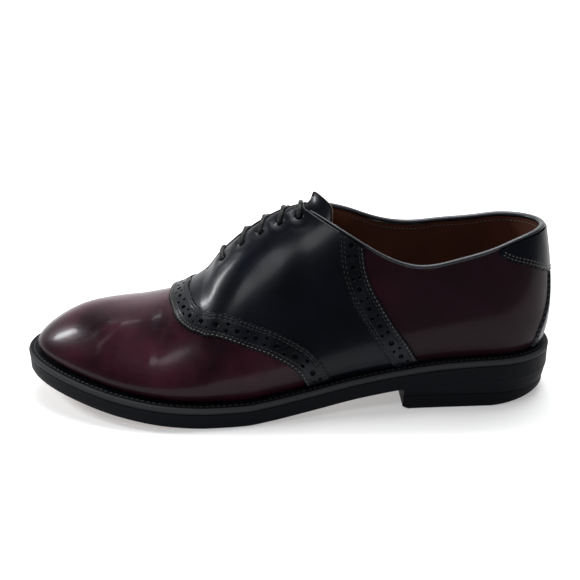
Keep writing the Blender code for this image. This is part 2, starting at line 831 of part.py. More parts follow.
def build_tongue(finish):
    """The tongue: under the facings, then out past their top, where its middle stands up."""
    depth = WALL + TONGUE_CLEARANCE
    grids = []
    for side in (LATERAL, MEDIAL):
        feet = spread(TONGUE_FRONT, FACING_TOP, TONGUE_ROWS)
        rows = [[tongue_point(foot, side, across) for across in TONGUE_COLUMNS] for foot in feet]
        top_row = rows[-1]
        for end in TONGUE_END:
            row = []
            for across, point in zip(TONGUE_COLUMNS, top_row):
                outer = min(1.0, across / TONGUE_CLEAR_REACH)
                clear = between(TONGUE_CLEAR_MIDDLE, TONGUE_CLEAR_SIDE, outer)
                back = clear + end.past + end.sweep * outer
                rise = end.rise * max(0.0, 1 - (across / end.hump) ** 2)
                row.append(point + Vector((back, 0.0, TONGUE_END_SLOPE * back + rise)))
            rows.append(row)
        grids.append(rows)
    return add_object("tongue", thickened(grid_sheet(grids), -depth - TONGUE_THICKNESS, -depth), finish)


def tongue_toe_place(foot):
    return 2 + 2 / math.pi * math.asin((foot - TOE_FAN) / ((1 - TOE_FAN) * FAN_REACH))


def over_facing(place, side, up):
    """Centre of a lace that lies on the saddle there."""
    height = SKIN_GAP + SADDLE_THICKNESS + LACE_CLEARANCE + LACE_RADIUS
    return skin(place, side, up) + skin_normal(place, side, up) * height


def lace_bar_path():
    """Straight over the slit, between the two lowest eyelets."""
    near, far = eyelet(0, LATERAL), eyelet(0, MEDIAL)
    path = [over_facing(near[0], LATERAL, near[1]), over_facing(near[0], LATERAL, 1.0)]
    return path + [over_facing(far[0], MEDIAL, 1.0), over_facing(far[0], MEDIAL, far[1])]


def lace_leg_path(number, side):
    """From an eyelet over its own facing's edge to the edge of the other facing, part of the way on."""
    start = eyelet(number, side)
    step = (waist_place(FACING_TOP) - waist_place(SLIT_FRONT)) / EYELETS * 0.5
    last = waist_place(FACING_TOP) + 0.012
    near, middle, far = (max(last, start[0] + step * share) for share in (0.45, 0.7, 0.95))
    centre = (over_facing(middle, LATERAL, 1.0) + over_facing(middle, MEDIAL, 1.0)) / 2
    return [
        over_facing(start[0], side, start[1]),
        over_facing(near, side, 1.0),
        centre + Vector((0.0, 0.0, LACE_RADIUS / 4)),
        over_facing(far, -side, 1.0),
    ]


def smooth_path(points, pieces):
    """Points on a smooth curve through the given ones."""
    ends = [2 * points[0] - points[1], *points, 2 * points[-1] - points[-2]]
    path = []
    for a, b, c, d in zip(ends, ends[1:], ends[2:], ends[3:]):
        for k in range(pieces):
            t = k / pieces
            path.append(
                0.5
                * (
                    2 * b
                    + (c - a) * t
                    + (2 * a - 5 * b + 4 * c - d) * t * t
                    + (3 * b - a - 3 * c + d) * t**3
                )
            )
    return path + [points[-1]]


def tube(path, radius, sides):
    """A round bar along a path that runs across the shoe."""
    rings = []
    for i, point in enumerate(path):
        along = (path[min(i + 1, len(path) - 1)] - path[max(i - 1, 0)]).normalized()
        first = Vector((1.0, 0.0, 0.0)) - along * along.x
        first.normalize()
        second = along.cross(first)
        rings.append(
            [
                point + (first * math.cos(a) + second * math.sin(a)) * radius
                for a in [2 * math.pi * k / sides for k in range(sides)]
            ]
        )
    return tube_between(rings, False)


def build_laces(finish):
    """A bar over the lowest eyelets, and a crossing of two legs above each of the other pairs."""
    bar = smooth_path(lace_bar_path(), 2)
    add_object("lace_bar", tube(bar, LACE_RADIUS, LACE_SIDES), finish)
    for number in range(1, EYELETS):
        paths = [smooth_path(lace_leg_path(number, side), 2) for side in (LATERAL, MEDIAL)]
        legs = [tube(path, LACE_RADIUS, LACE_SIDES) for path in paths]
        crossing = add_object(f"lace_crossing_{number}", legs[0], finish)
        cut_with(crossing, "UNION", add_object(f"lace_leg_{number}", legs[1], finish))


def main():
    for old in list(bpy.data.objects):
        bpy.data.objects.remove(old)
    burgundy = material("burgundy_leather", BURGUNDY, 0.28)
    black = material("black_leather", BLACK, 0.30)
    strip = material("black_strip_leather", BLACK, 0.34)
    edge_black = material("black_edge", BLACK, 0.45)
    rubber = material("heel_rubber", BLACK, 0.70)
    sock = material("tan_leather", TAN, 0.60)
    cotton = material("waxed_lace", BLACK, 0.55)
    upper = build_upper(burgundy)
    saddle = build_saddle(black, strip)
    cut_eyelets((upper, saddle))
    build_heel_tab(black)
    build_backstay(black)
    build_binding(black)
    build_tongue(black)
    build_laces(cotton)
    build_insole(sock)
    build_welt(edge_black)
    build_outsole(edge_black)
    build_heel(edge_black)
    build_top_lift(rubber)


main()
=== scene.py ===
"""Looks of a left saddle shoe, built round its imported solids.

Metres, +Z up. The toe points to -X and the outer (lateral) side faces -Y. The shoe's surface is worked out
from the same last as the solids: a table of sections and ribs that run from the feather edge to the crest.
A point of it is a place along the shoe (0 the back seam, 3 the toe) and a turn over it, from 0 at the outer
feather edge over the crest at a right angle to pi at the inner one.
"""

import math
import random
from collections import namedtuple

import bpy
import numpy as np
from mathutils import Matrix, Vector


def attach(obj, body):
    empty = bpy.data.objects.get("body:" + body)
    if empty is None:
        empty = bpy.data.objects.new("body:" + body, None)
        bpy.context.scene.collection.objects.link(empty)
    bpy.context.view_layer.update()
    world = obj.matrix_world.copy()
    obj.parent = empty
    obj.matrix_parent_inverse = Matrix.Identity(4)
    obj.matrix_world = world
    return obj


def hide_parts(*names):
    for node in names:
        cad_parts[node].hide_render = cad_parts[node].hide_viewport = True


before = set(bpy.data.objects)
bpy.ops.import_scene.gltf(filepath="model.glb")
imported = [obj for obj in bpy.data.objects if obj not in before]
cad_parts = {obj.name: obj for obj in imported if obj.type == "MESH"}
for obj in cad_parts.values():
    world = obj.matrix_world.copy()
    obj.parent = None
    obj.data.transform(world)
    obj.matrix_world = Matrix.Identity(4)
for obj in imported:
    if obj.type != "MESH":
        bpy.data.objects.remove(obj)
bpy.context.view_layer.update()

# Last
LAST_LENGTH = 0.2856
BALL_WIDTH = 0.094
INSTEP_HEIGHT = 0.106
HEEL_FAN = 0.115
TOE_FAN = 0.68
FAN_REACH = 0.45
TOE_ROUNDNESS = 2.2
HEEL_ROUNDNESS = 2.15

# Bottom stack
SEAT_RISE = 0.0175
TOE_SPRING = 0.0138
SPRING_START = 0.655
OUTSOLE_THICKNESS = 0.0083
WELT_THICKNESS = 0.0034
INSOLE_THICKNESS = 0.0042
WELT_EDGE_ROUND = 0.0012
WELT_MARGIN = 0.0072
WELT_INNER_EDGE = 0.0028
HEEL_LENGTH = 0.0860
HEEL_CENTRE = 0.0450
HEEL_TAPER = 0.0018
TOP_LIFT_THICKNESS = 0.0078
HEEL_WEAR = 0.0066
HEEL_WEAR_REACH = 0.0375
GAP = 0.0003

# Upper
WALL = 0.0022
SKIN_GAP = 0.0003
SADDLE_THICKNESS = 0.0011
STRIP_STEP = 0.0007
STRIP_WIDTH = 0.0138
OVERLAY_FOOT = 0.02
TAB_THICKNESS = 0.0011
SLIT_FRONT = 0.658
FACING_TOP = 0.464
HALF_GAP_FRONT = 0.0012
HALF_GAP_TOP = 0.0044
BINDING_WIDTH = 0.0034
BINDING_HEIGHT = 0.0024

# Lacing
EYELETS = 5
EYELET_RADIUS = 0.0017
EYELET_INSET = 0.0088
EYELET_TOP_MARGIN = 0.0045
EYELET_FRONT_MARGIN = 0.0135
LACE_RADIUS = 0.0012
TONGUE_THICKNESS = 0.0018
TONGUE_HALF_WIDTH = 0.0260
TONGUE_FRONT = 0.715
TONGUE_FRONT_WIDTH = 0.72
TONGUE_WIDENS_BY = 0.71
TONGUE_CLEAR_MIDDLE = 0.0008
TONGUE_CLEAR_SIDE = 0.0062
TONGUE_CLEAR_REACH = 0.53
TONGUE_END_SLOPE = 0.25
TONGUE_CLEARANCE = 0.0007

LATERAL = -1
MEDIAL = 1
CREST = math.pi / 2
DROP_PER_RADIAN = 0.04
WELD_REACH = 1e-6

Section = namedtuple(
    "Section", "share lateral medial axis ridge crest full out_lateral out_medial out_at"
)
SECTIONS = (
    Section(0.00, 0.303, 0.303, 0.000, 0.000, 1.260, 1.85, 0.040, 0.040, 0.30),
    Section(0.11, 0.312, 0.306, 0.000, 0.000, 1.260, 1.95, 0.046, 0.050, 0.24),
    Section(0.25, 0.326, 0.288, 0.000, 0.010, 1.240, 1.90, 0.050, 0.046, 0.18),
    Section(0.36, 0.356, 0.266, 0.000, 0.020, 1.170, 1.85, 0.052, 0.034, 0.16),
    Section(0.46, 0.416, 0.278, 0.000, 0.030, 1.030, 1.80, 0.050, 0.026, 0.16),
    Section(0.51, 0.446, 0.298, 0.000, 0.030, 0.978, 1.82, 0.046, 0.026, 0.17),
    Section(0.56, 0.474, 0.328, 0.000, 0.030, 0.896, 1.86, 0.042, 0.026, 0.18),
    Section(0.60, 0.494, 0.366, 0.000, 0.028, 0.815, 1.92, 0.039, 0.028, 0.19),
    Section(0.63, 0.504, 0.390, 0.000, 0.028, 0.738, 1.96, 0.037, 0.029, 0.20),
    Section(0.66, 0.510, 0.415, 0.000, 0.026, 0.645, 1.96, 0.036, 0.030, 0.20),
    Section(0.73, 0.516, 0.480, 0.002, 0.018, 0.540, 2.00, 0.036, 0.032, 0.20),
    Section(0.81, 0.502, 0.508, 0.010, 0.010, 0.494, 2.10, 0.034, 0.032, 0.20),
    Section(0.90, 0.458, 0.490, 0.022, 0.004, 0.483, 2.25, 0.032, 0.030, 0.20),
    Section(1.00, 0.404, 0.447, 0.036, 0.000, 0.440, 2.30, 0.030, 0.030, 0.20),
)
Tread = namedtuple("Tread", "share rise")
TREAD = (
    Tread(-0.03, 1.00),
    Tread(0.10, 0.96),
    Tread(0.20, 0.88),
    Tread(0.28, 0.73),
    Tread(0.38, 0.49),
    Tread(0.47, 0.25),
    Tread(0.54, 0.07),
    Tread(0.58, 0.00),
    Tread(0.66, 0.00),
)
Margin = namedtuple("Margin", "share lateral medial")
MARGINS = (
    Margin(0.00, 0.72, 0.72),
    Margin(0.20, 0.84, 0.78),
    Margin(0.42, 0.94, 0.62),
    Margin(0.62, 1.00, 0.90),
    Margin(0.80, 1.00, 1.00),
    Margin(1.00, 1.08, 1.08),
)
Topline = namedtuple("Topline", "share lateral medial")
TOPLINE = (
    Topline(0.02, 0.893, 0.893),
    Topline(0.07, 0.868, 0.886),
    Topline(0.145, 0.797, 0.860),
    Topline(0.20, 0.763, 0.856),
    Topline(0.24, 0.735, 0.842),
    Topline(0.27, 0.742, 0.846),
    Topline(0.31, 0.777, 0.864),
    Topline(0.36, 0.850, 0.916),
    Topline(0.40, 0.916, 0.962),
    Topline(0.45, 0.984, 0.990),
    Topline(0.464, 1.000, 1.002),
)
Edge = namedtuple("Edge", "up front rear")
SADDLE_EDGES = (
    Edge(0.00, 1.618, 1.233),
    Edge(0.10, 1.650, 1.253),
    Edge(0.20, 1.735, 1.270),
    Edge(0.30, 1.855, 1.290),
    Edge(0.40, 1.945, 1.318),
    Edge(0.50, 2.016, 1.342),
    Edge(0.60, 2.072, 1.369),
    Edge(0.75, 2.130, 1.408),
    Edge(0.88, 2.190, 1.424),
    Edge(1.00, 2.235, 1.428),
)
TabEdge = namedtuple("TabEdge", "along up")
TAB_EDGE = (
    TabEdge(0.00, 0.590),
    TabEdge(0.20, 0.612),
    TabEdge(0.40, 0.668),
    TabEdge(0.68, 0.762),
    TabEdge(0.87, 0.842),
    TabEdge(1.00, 0.935),
)
TAB_REACH = 0.97
Backstay = namedtuple("Backstay", "up place")
BACKSTAY = (
    Backstay(0.00, 0.50),
    Backstay(0.15, 0.46),
    Backstay(0.28, 0.36),
    Backstay(0.40, 0.27),
    Backstay(0.60, 0.20),
)
TongueEnd = namedtuple("TongueEnd", "past sweep rise")
TONGUE_END = (
    TongueEnd(0.0000, 0.0000, 0.0000),
    TongueEnd(0.0006, 0.0015, 0.0030),
    TongueEnd(0.0006, 0.0040, 0.0058),
    TongueEnd(0.0002, 0.0075, 0.0070),
)
TONGUE_RISE = 0.8
TONGUE_HUMP = 0.95


# The last's surface, for whole arrays of points at once


def curve_of(rows, column, key="share"):
    """The smooth curve through one column of a table, with no overshoot, as a function of its key."""
    xs = np.array([getattr(row, key) for row in rows])
    ys = np.array([getattr(row, column) for row in rows])
    steps = np.diff(ys) / np.diff(xs)
    slopes = np.zeros(len(xs))
    slopes[0], slopes[-1] = steps[0], steps[-1]
    for i in range(1, len(xs) - 1):
        before, after = steps[i - 1], steps[i]
        if before * after > 0:
            slopes[i] = 2 * before * after / (before + after)

    def value(x):
        x = np.clip(x, xs[0], xs[-1])
        k = np.clip(np.searchsorted(xs, x, side="right") - 1, 0, len(xs) - 2)
        width = xs[k + 1] - xs[k]
        t = (x - xs[k]) / width
        return (
            ys[k] * (1 + 2 * t) * (1 - t) ** 2
            + slopes[k] * width * t * (1 - t) ** 2
            + ys[k + 1] * t * t * (3 - 2 * t)
            + slopes[k + 1] * width * t * t * (t - 1)
        )

    return value


LAST = {column: curve_of(SECTIONS, column) for column in Section._fields[1:]}
TREAD_RISE = curve_of(TREAD, "rise")
MARGIN = {LATERAL: curve_of(MARGINS, "lateral"), MEDIAL: curve_of(MARGINS, "medial")}
TOP = {LATERAL: curve_of(TOPLINE, "lateral"), MEDIAL: curve_of(TOPLINE, "medial")}
FRONT_EDGE = curve_of(SADDLE_EDGES, "front", "up")
REAR_EDGE = curve_of(SADDLE_EDGES, "rear", "up")
TAB_UP = curve_of(TAB_EDGE, "up", "along")
BACKSTAY_PLACE = curve_of(BACKSTAY, "place", "up")
FEATHER_BACK = HEEL_CENTRE - WELT_MARGIN * float(MARGIN[LATERAL](0.0))


def x_at(share):
    return FEATHER_BACK - share * LAST_LENGTH


def share_at(x):
    return (FEATHER_BACK - x) / LAST_LENGTH


def by_side(side, lateral, medial):
    return np.where(np.asarray(side) < 0, lateral, medial)


def tread(x):
    """Height of the outsole's underside at x."""
    share = share_at(x)
    spring = np.maximum(0.0, (share - SPRING_START) / (1 - SPRING_START))
    return SEAT_RISE * TREAD_RISE(share) + TOE_SPRING * spring**1.4


def welt_top(x):
    return tread(x) + OUTSOLE_THICKNESS + GAP + WELT_THICKNESS


def rib(place):
    """Where the rib at a place meets the crest, where its feather point lies, how far the plan closes."""
    place = np.asarray(place, float)
    heel = np.sin(np.clip(1 - place, 0, 1) * math.pi / 2)
    toe = np.sin(np.clip(place - 2, 0, 1) * math.pi / 2)
    heel_closing = np.maximum(0.0, 1 - heel**HEEL_ROUNDNESS) ** (1 / HEEL_ROUNDNESS)
    toe_closing = np.maximum(0.0, 1 - toe**TOE_ROUNDNESS) ** (1 / TOE_ROUNDNESS)
    waist = HEEL_FAN + (TOE_FAN - HEEL_FAN) * np.clip(place - 1, 0, 1)
    foot = waist - HEEL_FAN * FAN_REACH * heel + (1 - TOE_FAN) * FAN_REACH * toe
    share = waist - HEEL_FAN * heel + (1 - TOE_FAN) * toe
    return foot, share, np.minimum(heel_closing, toe_closing)


def feather(place, side):
    """Plan position of the feather edge, as x and y."""
    _, share, closing = rib(place)
    half = by_side(side, LAST["lateral"](share), LAST["medial"](share))
    return x_at(share), BALL_WIDTH * (LAST["axis"](share) + side * half * closing)


def last(place, side, angle):
    """Points of the last: angle 0 is the feather edge and a right angle the crest."""
    place, side, angle = np.broadcast_arrays(np.asarray(place, float), side, np.asarray(angle, float))
    foot, share, _ = rib(place)
    edge_x, edge_y = feather(place, side)
    foot_x, foot_y = x_at(foot), BALL_WIDTH * (LAST["axis"](foot) + LAST["ridge"](foot))
    full = LAST["full"](share)
    run = np.maximum(np.cos(angle), 0.0) ** (2 / full)
    rise = np.maximum(np.sin(angle), 0.0) ** (2 / full)
    at = LAST["out_at"](share)
    out = by_side(side, LAST["out_lateral"](share), LAST["out_medial"](share))
    swell = BALL_WIDTH * out * (rise / at) * np.exp(1 - rise / at) * (1 - rise**3)
    ray_x, ray_y = edge_x - foot_x, edge_y - foot_y
    length = np.hypot(ray_x, ray_y)
    x = foot_x + ray_x * (run + swell / length)
    y = foot_y + ray_y * (run + swell / length)
    low = welt_top(edge_x) + GAP
    return np.stack((x, y, low + (INSTEP_HEIGHT * LAST["crest"](share_at(x)) - low) * rise), -1)


def solved(f, low, high, steps=36):
    """Where the rising function f crosses zero, for each member of its arrays."""
    for _ in range(steps):
        middle = (low + high) / 2
        below = f(middle) < 0
        low = np.where(below, middle, low)
        high = np.where(below, high, middle)
    return (low + high) / 2


def top_angle(place, side):
    """How far up a rib the upper reaches: the crest, the slit's edge or the topline."""
    place, side = np.broadcast_arrays(np.asarray(place, float), side)
    foot, _, _ = rib(place)
    centre = BALL_WIDTH * (LAST["axis"](foot) + LAST["ridge"](foot))
    opened = np.minimum(1.0, (SLIT_FRONT - foot) / (SLIT_FRONT - FACING_TOP))
    half_gap = HALF_GAP_FRONT + (HALF_GAP_TOP - HALF_GAP_FRONT) * opened
    ones = np.ones(place.shape)

    def beyond_gap(angle):
        return half_gap - np.abs(last(place, side, angle)[..., 1] - centre)

    def above_topline(angle):
        point = last(place, side, angle)
        share = share_at(point[..., 0])
        return point[..., 2] - INSTEP_HEIGHT * by_side(side, TOP[LATERAL](share), TOP[MEDIAL](share))

    at_gap = np.where(foot > HEEL_FAN + 0.02, solved(beyond_gap, 0.3 * ones, CREST * ones), CREST)
    at_top = np.minimum(at_gap, solved(above_topline, 0.1 * ones, CREST * ones))
    open_top = np.where(foot > FACING_TOP + 0.001, at_gap, at_top)
    return np.where(foot < SLIT_FRONT - 1e-6, open_top, CREST)


def waist_place(share):
    return 1 + (share - HEEL_FAN) / (TOE_FAN - HEEL_FAN)


def angle_of(turn):
    """Angle up from the nearer feather edge at a turn."""
    return np.minimum(turn, math.pi - np.asarray(turn))


def turn_of(side, angle):
    return angle if side == LATERAL else math.pi - angle


def surface(place, turn):
    """Points of the whole last. Below the feather edge it goes straight down."""
    side = np.where(np.asarray(turn) < CREST, LATERAL, MEDIAL)
    angle = angle_of(turn)
    points = last(place, side, np.maximum(angle, 0.0))
    points[..., 2] += np.minimum(angle, 0.0) * DROP_PER_RADIAN
    return points


def slopes(place, turn):
    """How the surface runs along the shoe and over it."""
    reach = 0.004
    ahead, behind = np.minimum(place + reach, 3.0), np.maximum(place - reach, 0.0)
    along = (surface(ahead, turn) - surface(behind, turn)) / (ahead - behind)[..., None]
    across = (surface(place, turn + reach) - surface(place, turn - reach)) / (2 * reach)
    return along, across


def unit(vectors):
    return vectors / np.maximum(np.linalg.norm(vectors, axis=-1, keepdims=True), 1e-12)


def normals_at(place, turn):
    along, across = slopes(place, turn)
    return unit(np.cross(across, along))


def settle(points, place, turn):
    """Place and turn of the surface's points nearest to the given ones, from a guess."""
    furthest = 0.15
    for _ in range(4):
        along, across = slopes(place, turn)
        off = points - surface(place, turn)
        a, b, c = (along**2).sum(-1), (along * across).sum(-1), (across**2).sum(-1)
        u, v = (along * off).sum(-1), (across * off).sum(-1)
        det = np.maximum(a * c - b * b, 1e-14)
        place = np.clip(place + np.clip((c * u - b * v) / det, -furthest, furthest), 0.0, 3.0)
        turn = turn + np.clip((a * v - b * u) / det, -furthest, furthest)
    return place, turn


def run_along(path):
    """Distance along a path at each of its points."""
    return np.concatenate(([0.0], np.cumsum(np.linalg.norm(np.diff(path, axis=0), axis=1))))


def mean_over(padded, window, axis=0):
    """Running mean along an axis. Its ends lose the padding."""
    kernel = np.ones(window) / window
    return np.apply_along_axis(lambda line: np.convolve(line, kernel, "valid"), axis, padded)


# Meshes


def spread(low, high, count):
    return list(np.linspace(low, high, count + 1))


def welded(points, faces, notes):
    """Joins points that coincide and drops the faces that this closes. notes has a row for each point."""
    keys = np.round(points / WELD_REACH).astype(np.int64)
    _, first, back = np.unique(keys, axis=0, return_index=True, return_inverse=True)
    back = back.reshape(-1)
    kept = []
    for face in faces:
        ring = [int(back[i]) for i in face]
        ring = [v for k, v in enumerate(ring) if v != ring[k - 1]]
        if len(set(ring)) >= 3:
            kept.append(ring)
    return points[first], kept, notes[first]


def sheet(grids):
    """One mesh from grids that meet, each with its points, a note for each and if its faces turn over."""
    parts, faces, notes = [], [], []
    start = 0
    for points, note, flip in grids:
        rows, columns = points.shape[:2]
        parts.append(points.reshape(-1, 3))
        notes.append(note.reshape(rows * columns, -1))
        rings = grid_faces(rows, columns, start)
        faces += [tuple(reversed(f)) for f in rings] if flip else rings
        start += rows * columns
    return welded(np.concatenate(parts), faces, np.concatenate(notes))


def grid_faces(rows, columns, start=0):
    faces = []
    for i in range(rows - 1):
        for j in range(columns - 1):
            a = start + i * columns + j
            faces.append((a, a + 1, a + columns + 1, a + columns))
    return faces


def vertex_normals(points, faces):
    normals = np.zeros_like(points)
    rings = np.array([list(f) + [f[-1]] * (4 - len(f)) for f in faces])
    cross = np.cross(points[rings[:, 2]] - points[rings[:, 0]], points[rings[:, 3]] - points[rings[:, 1]])
    for k in range(4):
        np.add.at(normals, rings[:, k], cross)
    return unit(normals)


def rim_edges(faces):
    """Directed edges that only one face has."""
    seen = set()
    for face in faces:
        for k, v in enumerate(face):
            seen.add((face[k - 1], v))
    return [(a, b) for a, b in seen if (b, a) not in seen]


def shell(outer, inner, faces):
    """A closed solid between two sets of points with the same faces. Returns points, faces and their kinds:
    0 outer, 1 inner, 2 rim."""
    count = len(outer)
    made = [list(f) for f in faces] + [[v + count for v in reversed(f)] for f in faces]
    kinds = [0] * len(faces) + [1] * len(faces)
    for a, b in rim_edges(faces):
        made.append([b, a, a + count, b + count])
        kinds.append(2)
    return np.concatenate((outer, inner)), made, kinds


def volume_of(points, faces):
    total = 0.0
    for face in faces:
        a = points[face[0]]
        for k in range(1, len(face) - 1):
            total += a.dot(np.cross(points[face[k]], points[face[k + 1]]))
    return total


def add_piece(name, points, faces, materials, kinds=None, node=None, marks=None, sharp=40):
    """One object on the shoe's body, facing outwards."""
    if volume_of(points, faces) < 0:
        faces = [list(reversed(f)) for f in faces]
    mesh = bpy.data.meshes.new(name)
    mesh.from_pydata(points.tolist(), [], [tuple(f) for f in faces])
    for finish in materials:
        mesh.materials.append(finish)
    if kinds is not None:
        mesh.polygons.foreach_set("material_index", kinds)
    for label, values in (marks or {}).items():
        layer = mesh.attributes.new(label, "FLOAT", "POINT")
        layer.data.foreach_set("value", np.asarray(values, np.float32))
    mesh.shade_smooth()
    mesh.set_sharp_from_angle(angle=math.radians(sharp))
    made = bpy.data.objects.new(name, mesh)
    bpy.context.scene.collection.objects.link(made)
    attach(made, "root")
    if node:
        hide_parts(*([node] if isinstance(node, str) else node))
    return made


def smooth_path(points, pieces):
    """Points on a smooth curve through the given ones."""
    points = np.asarray(points, float)
    ends = np.concatenate(([2 * points[0] - points[1]], points, [2 * points[-1] - points[-2]]))
    t = (np.arange(pieces) / pieces)[:, None]
    path = []
    for a, b, c, d in zip(ends, ends[1:], ends[2:], ends[3:]):
        bend = (2 * a - 5 * b + 4 * c - d) * t**2 + (3 * b - a - 3 * c + d) * t**3
        path.append(0.5 * (2 * b + (c - a) * t + bend))
    return np.concatenate(path + [points[-1:]])


def tube_faces(count, sides):
    """Faces of a bar of count rings, closed at its ends."""
    faces = []
    for i in range(count - 1):
        for k in range(sides):
            a, b = i * sides + k, i * sides + (k + 1) % sides
            faces.append((a, b, b + sides, a + sides))
    faces.append(tuple(reversed(range(sides))))
    faces.append(tuple(range((count - 1) * sides, count * sides)))
    return faces


def tube(path, radii, sides, guide=(1.0, 0.0, 0.0), flat=1.0):
    """A closed bar along a path. radii: one, or one for each point. flat thins it across the guide."""
    path = np.asarray(path, float)
    radii = np.broadcast_to(radii, len(path))
    along = unit(np.gradient(path, axis=0))
    guide = np.array(guide)
    across = unit(guide - along * (along @ guide)[:, None])
    other = np.cross(along, across)
    turns = np.arange(sides) * 2 * math.pi / sides
    rings = (
        path[:, None]
        + across[:, None] * (np.cos(turns) * radii[:, None])[..., None]
        + other[:, None] * (np.sin(turns) * radii[:, None] * flat)[..., None]
    )
    return rings.reshape(-1, 3), tube_faces(len(path), sides)


def joined(parts):
    """Points and faces of many small meshes as one."""
    points, faces = [], []
    start = 0
    for some, rings in parts:
        points.append(some)
        faces.extend([[v + start for v in ring] for ring in rings])
        start += len(some)
    return np.concatenate(points), faces


def noise_at(points, size, seed=0):
    """Smooth values, about -1 to 1, that change over a length of size: a few waves in fixed directions."""
    rng = random.Random(seed)
    total = np.zeros(points.shape[:-1])
    for _ in range(7):
        direction = unit(np.array([rng.gauss(0, 1) for _ in range(3)]))
        length = size * rng.uniform(0.7, 1.6)
        total += np.sin(points @ direction * 2 * math.pi / length + rng.uniform(0, 6.3))
    return total / 4


def bump_at(distance, width):
    """A soft bump: 1 in its middle, almost 0 two widths away."""
    return np.exp(-((distance / width) ** 2))


def ramp(value, low, high):
    """0 below low, 1 above high, smooth between."""
    t = np.clip((value - low) / (high - low), 0.0, 1.0)
    return t * t * (3 - 2 * t)


# Materials


class Finish:
    """A Principled material and the few nodes that its surfaces share."""

    def __init__(self, name):
        self.material = bpy.data.materials.new(name)
        self.material.use_nodes = True
        self.nodes = self.material.node_tree.nodes
        self.links = self.material.node_tree.links
        self.shader = self.nodes["Principled BSDF"]
        self.where = self.nodes.new("ShaderNodeTexCoord").outputs["Object"]

    def set(self, **values):
        for label, value in values.items():
            self.shader.inputs[label.replace("_", " ")].default_value = value
        return self

    def link(self, source, label):
        self.links.new(source, self.shader.inputs[label])

    def noise(self, scale, detail=3.0, rough=0.55, stretch=None):
        node = self.nodes.new("ShaderNodeTexNoise")
        node.inputs["Scale"].default_value = scale
        node.inputs["Detail"].default_value = detail
        node.inputs["Roughness"].default_value = rough
        if stretch:
            mapping = self.nodes.new("ShaderNodeMapping")
            mapping.inputs["Scale"].default_value = stretch
            self.links.new(self.where, mapping.inputs["Vector"])
            self.links.new(mapping.outputs["Vector"], node.inputs["Vector"])
        else:
            self.links.new(self.where, node.inputs["Vector"])
        return node.outputs["Fac"]

    def cells(self, scale):
        node = self.nodes.new("ShaderNodeTexVoronoi")
        node.feature = "F1"
        node.inputs["Scale"].default_value = scale
        self.links.new(self.where, node.inputs["Vector"])
        return node.outputs["Distance"]

    def mark(self, label):
        node = self.nodes.new("ShaderNodeAttribute")
        node.attribute_name = label
        return node.outputs["Fac"]

    def range(self, source, low, high, to_low, to_high):
        node = self.nodes.new("ShaderNodeMapRange")
        labels = ("From Min", "From Max", "To Min", "To Max")
        for label, value in zip(labels, (low, high, to_low, to_high)):
            node.inputs[label].default_value = value
        self.links.new(source, node.inputs["Value"])
        return node.outputs["Result"]

    def sum(self, first, second):
        node = self.nodes.new("ShaderNodeMath")
        node.operation = "ADD"
        self.links.new(first, node.inputs[0])
        self.links.new(second, node.inputs[1])
        return node.outputs["Value"]

    def mix(self, factor, first, second):
        node = self.nodes.new("ShaderNodeMix")
        node.data_type = "RGBA"
        for label, value in (("A", first), ("B", second)):
            socket = next(s for s in node.inputs if s.name == label and s.type == "RGBA")
            if isinstance(value, tuple):
                socket.default_value = (*value, 1.0)
            else:
                self.links.new(value, socket)
        self.links.new(factor, node.inputs["Factor"])
        return next(s for s in node.outputs if s.type == "RGBA")

    def bump(self, source, depth, strength=1.0, below=None):
        node = self.nodes.new("ShaderNodeBump")
        node.inputs["Strength"].default_value = strength
        node.inputs["Distance"].default_value = depth
        self.links.new(source, node.inputs["Height"])
        if below is not None:
            self.links.new(below, node.inputs["Normal"])
        return node.outputs["Normal"]


def leather(name, colour, deep_tone_and_shade, pale_tone_and_highlight, rough, coat=0.0, coat_rough=0.12, specular=0.3):
    """Polished leather: deep and pale tones drift over it at random, and pores break it. Marks on the mesh
    set more of each: the deep tone as painted shade, the pale tone as painted highlight and as random paler
    tone.
    """
    grain = 0.00006
    made = Finish(name)
    drift = made.range(made.noise(38.0, 3.0), 0.36, 0.66, 0.0, 1.0)
    tone = made.mix(drift, deep_tone_and_shade, colour)
    # Painted highlight and painted shade: the mesh marks mix the pale and deep tones into the base colour.
    tone = made.mix(made.mark("pale_tone_and_highlight"), tone, pale_tone_and_highlight)
    tone = made.mix(made.mark("deep_tone_and_shade"), tone, deep_tone_and_shade)
    pores = made.range(made.cells(1500.0), 0.0, 0.35, 0.0, 1.0)
    made.link(tone, "Base Color")
    worn = made.range(made.noise(120.0, 4.0), 0.3, 0.7, rough * 0.86, rough * 1.16)
    dull = made.range(made.mark("deep_tone_and_shade"), 0.35, 1.0, 0.0, 0.45)
    made.link(made.sum(worn, dull), "Roughness")
    made.set(Coat_Weight=coat, Coat_Roughness=coat_rough, Specular_IOR_Level=specular)
    made.set(Specular_Tint=(0.84, 0.92, 1.0, 1.0))
    fine = made.bump(pores, grain, 0.5)
    made.link(made.bump(made.noise(420.0, 4.0), grain * 3, 0.35, fine), "Normal")
    return made.material


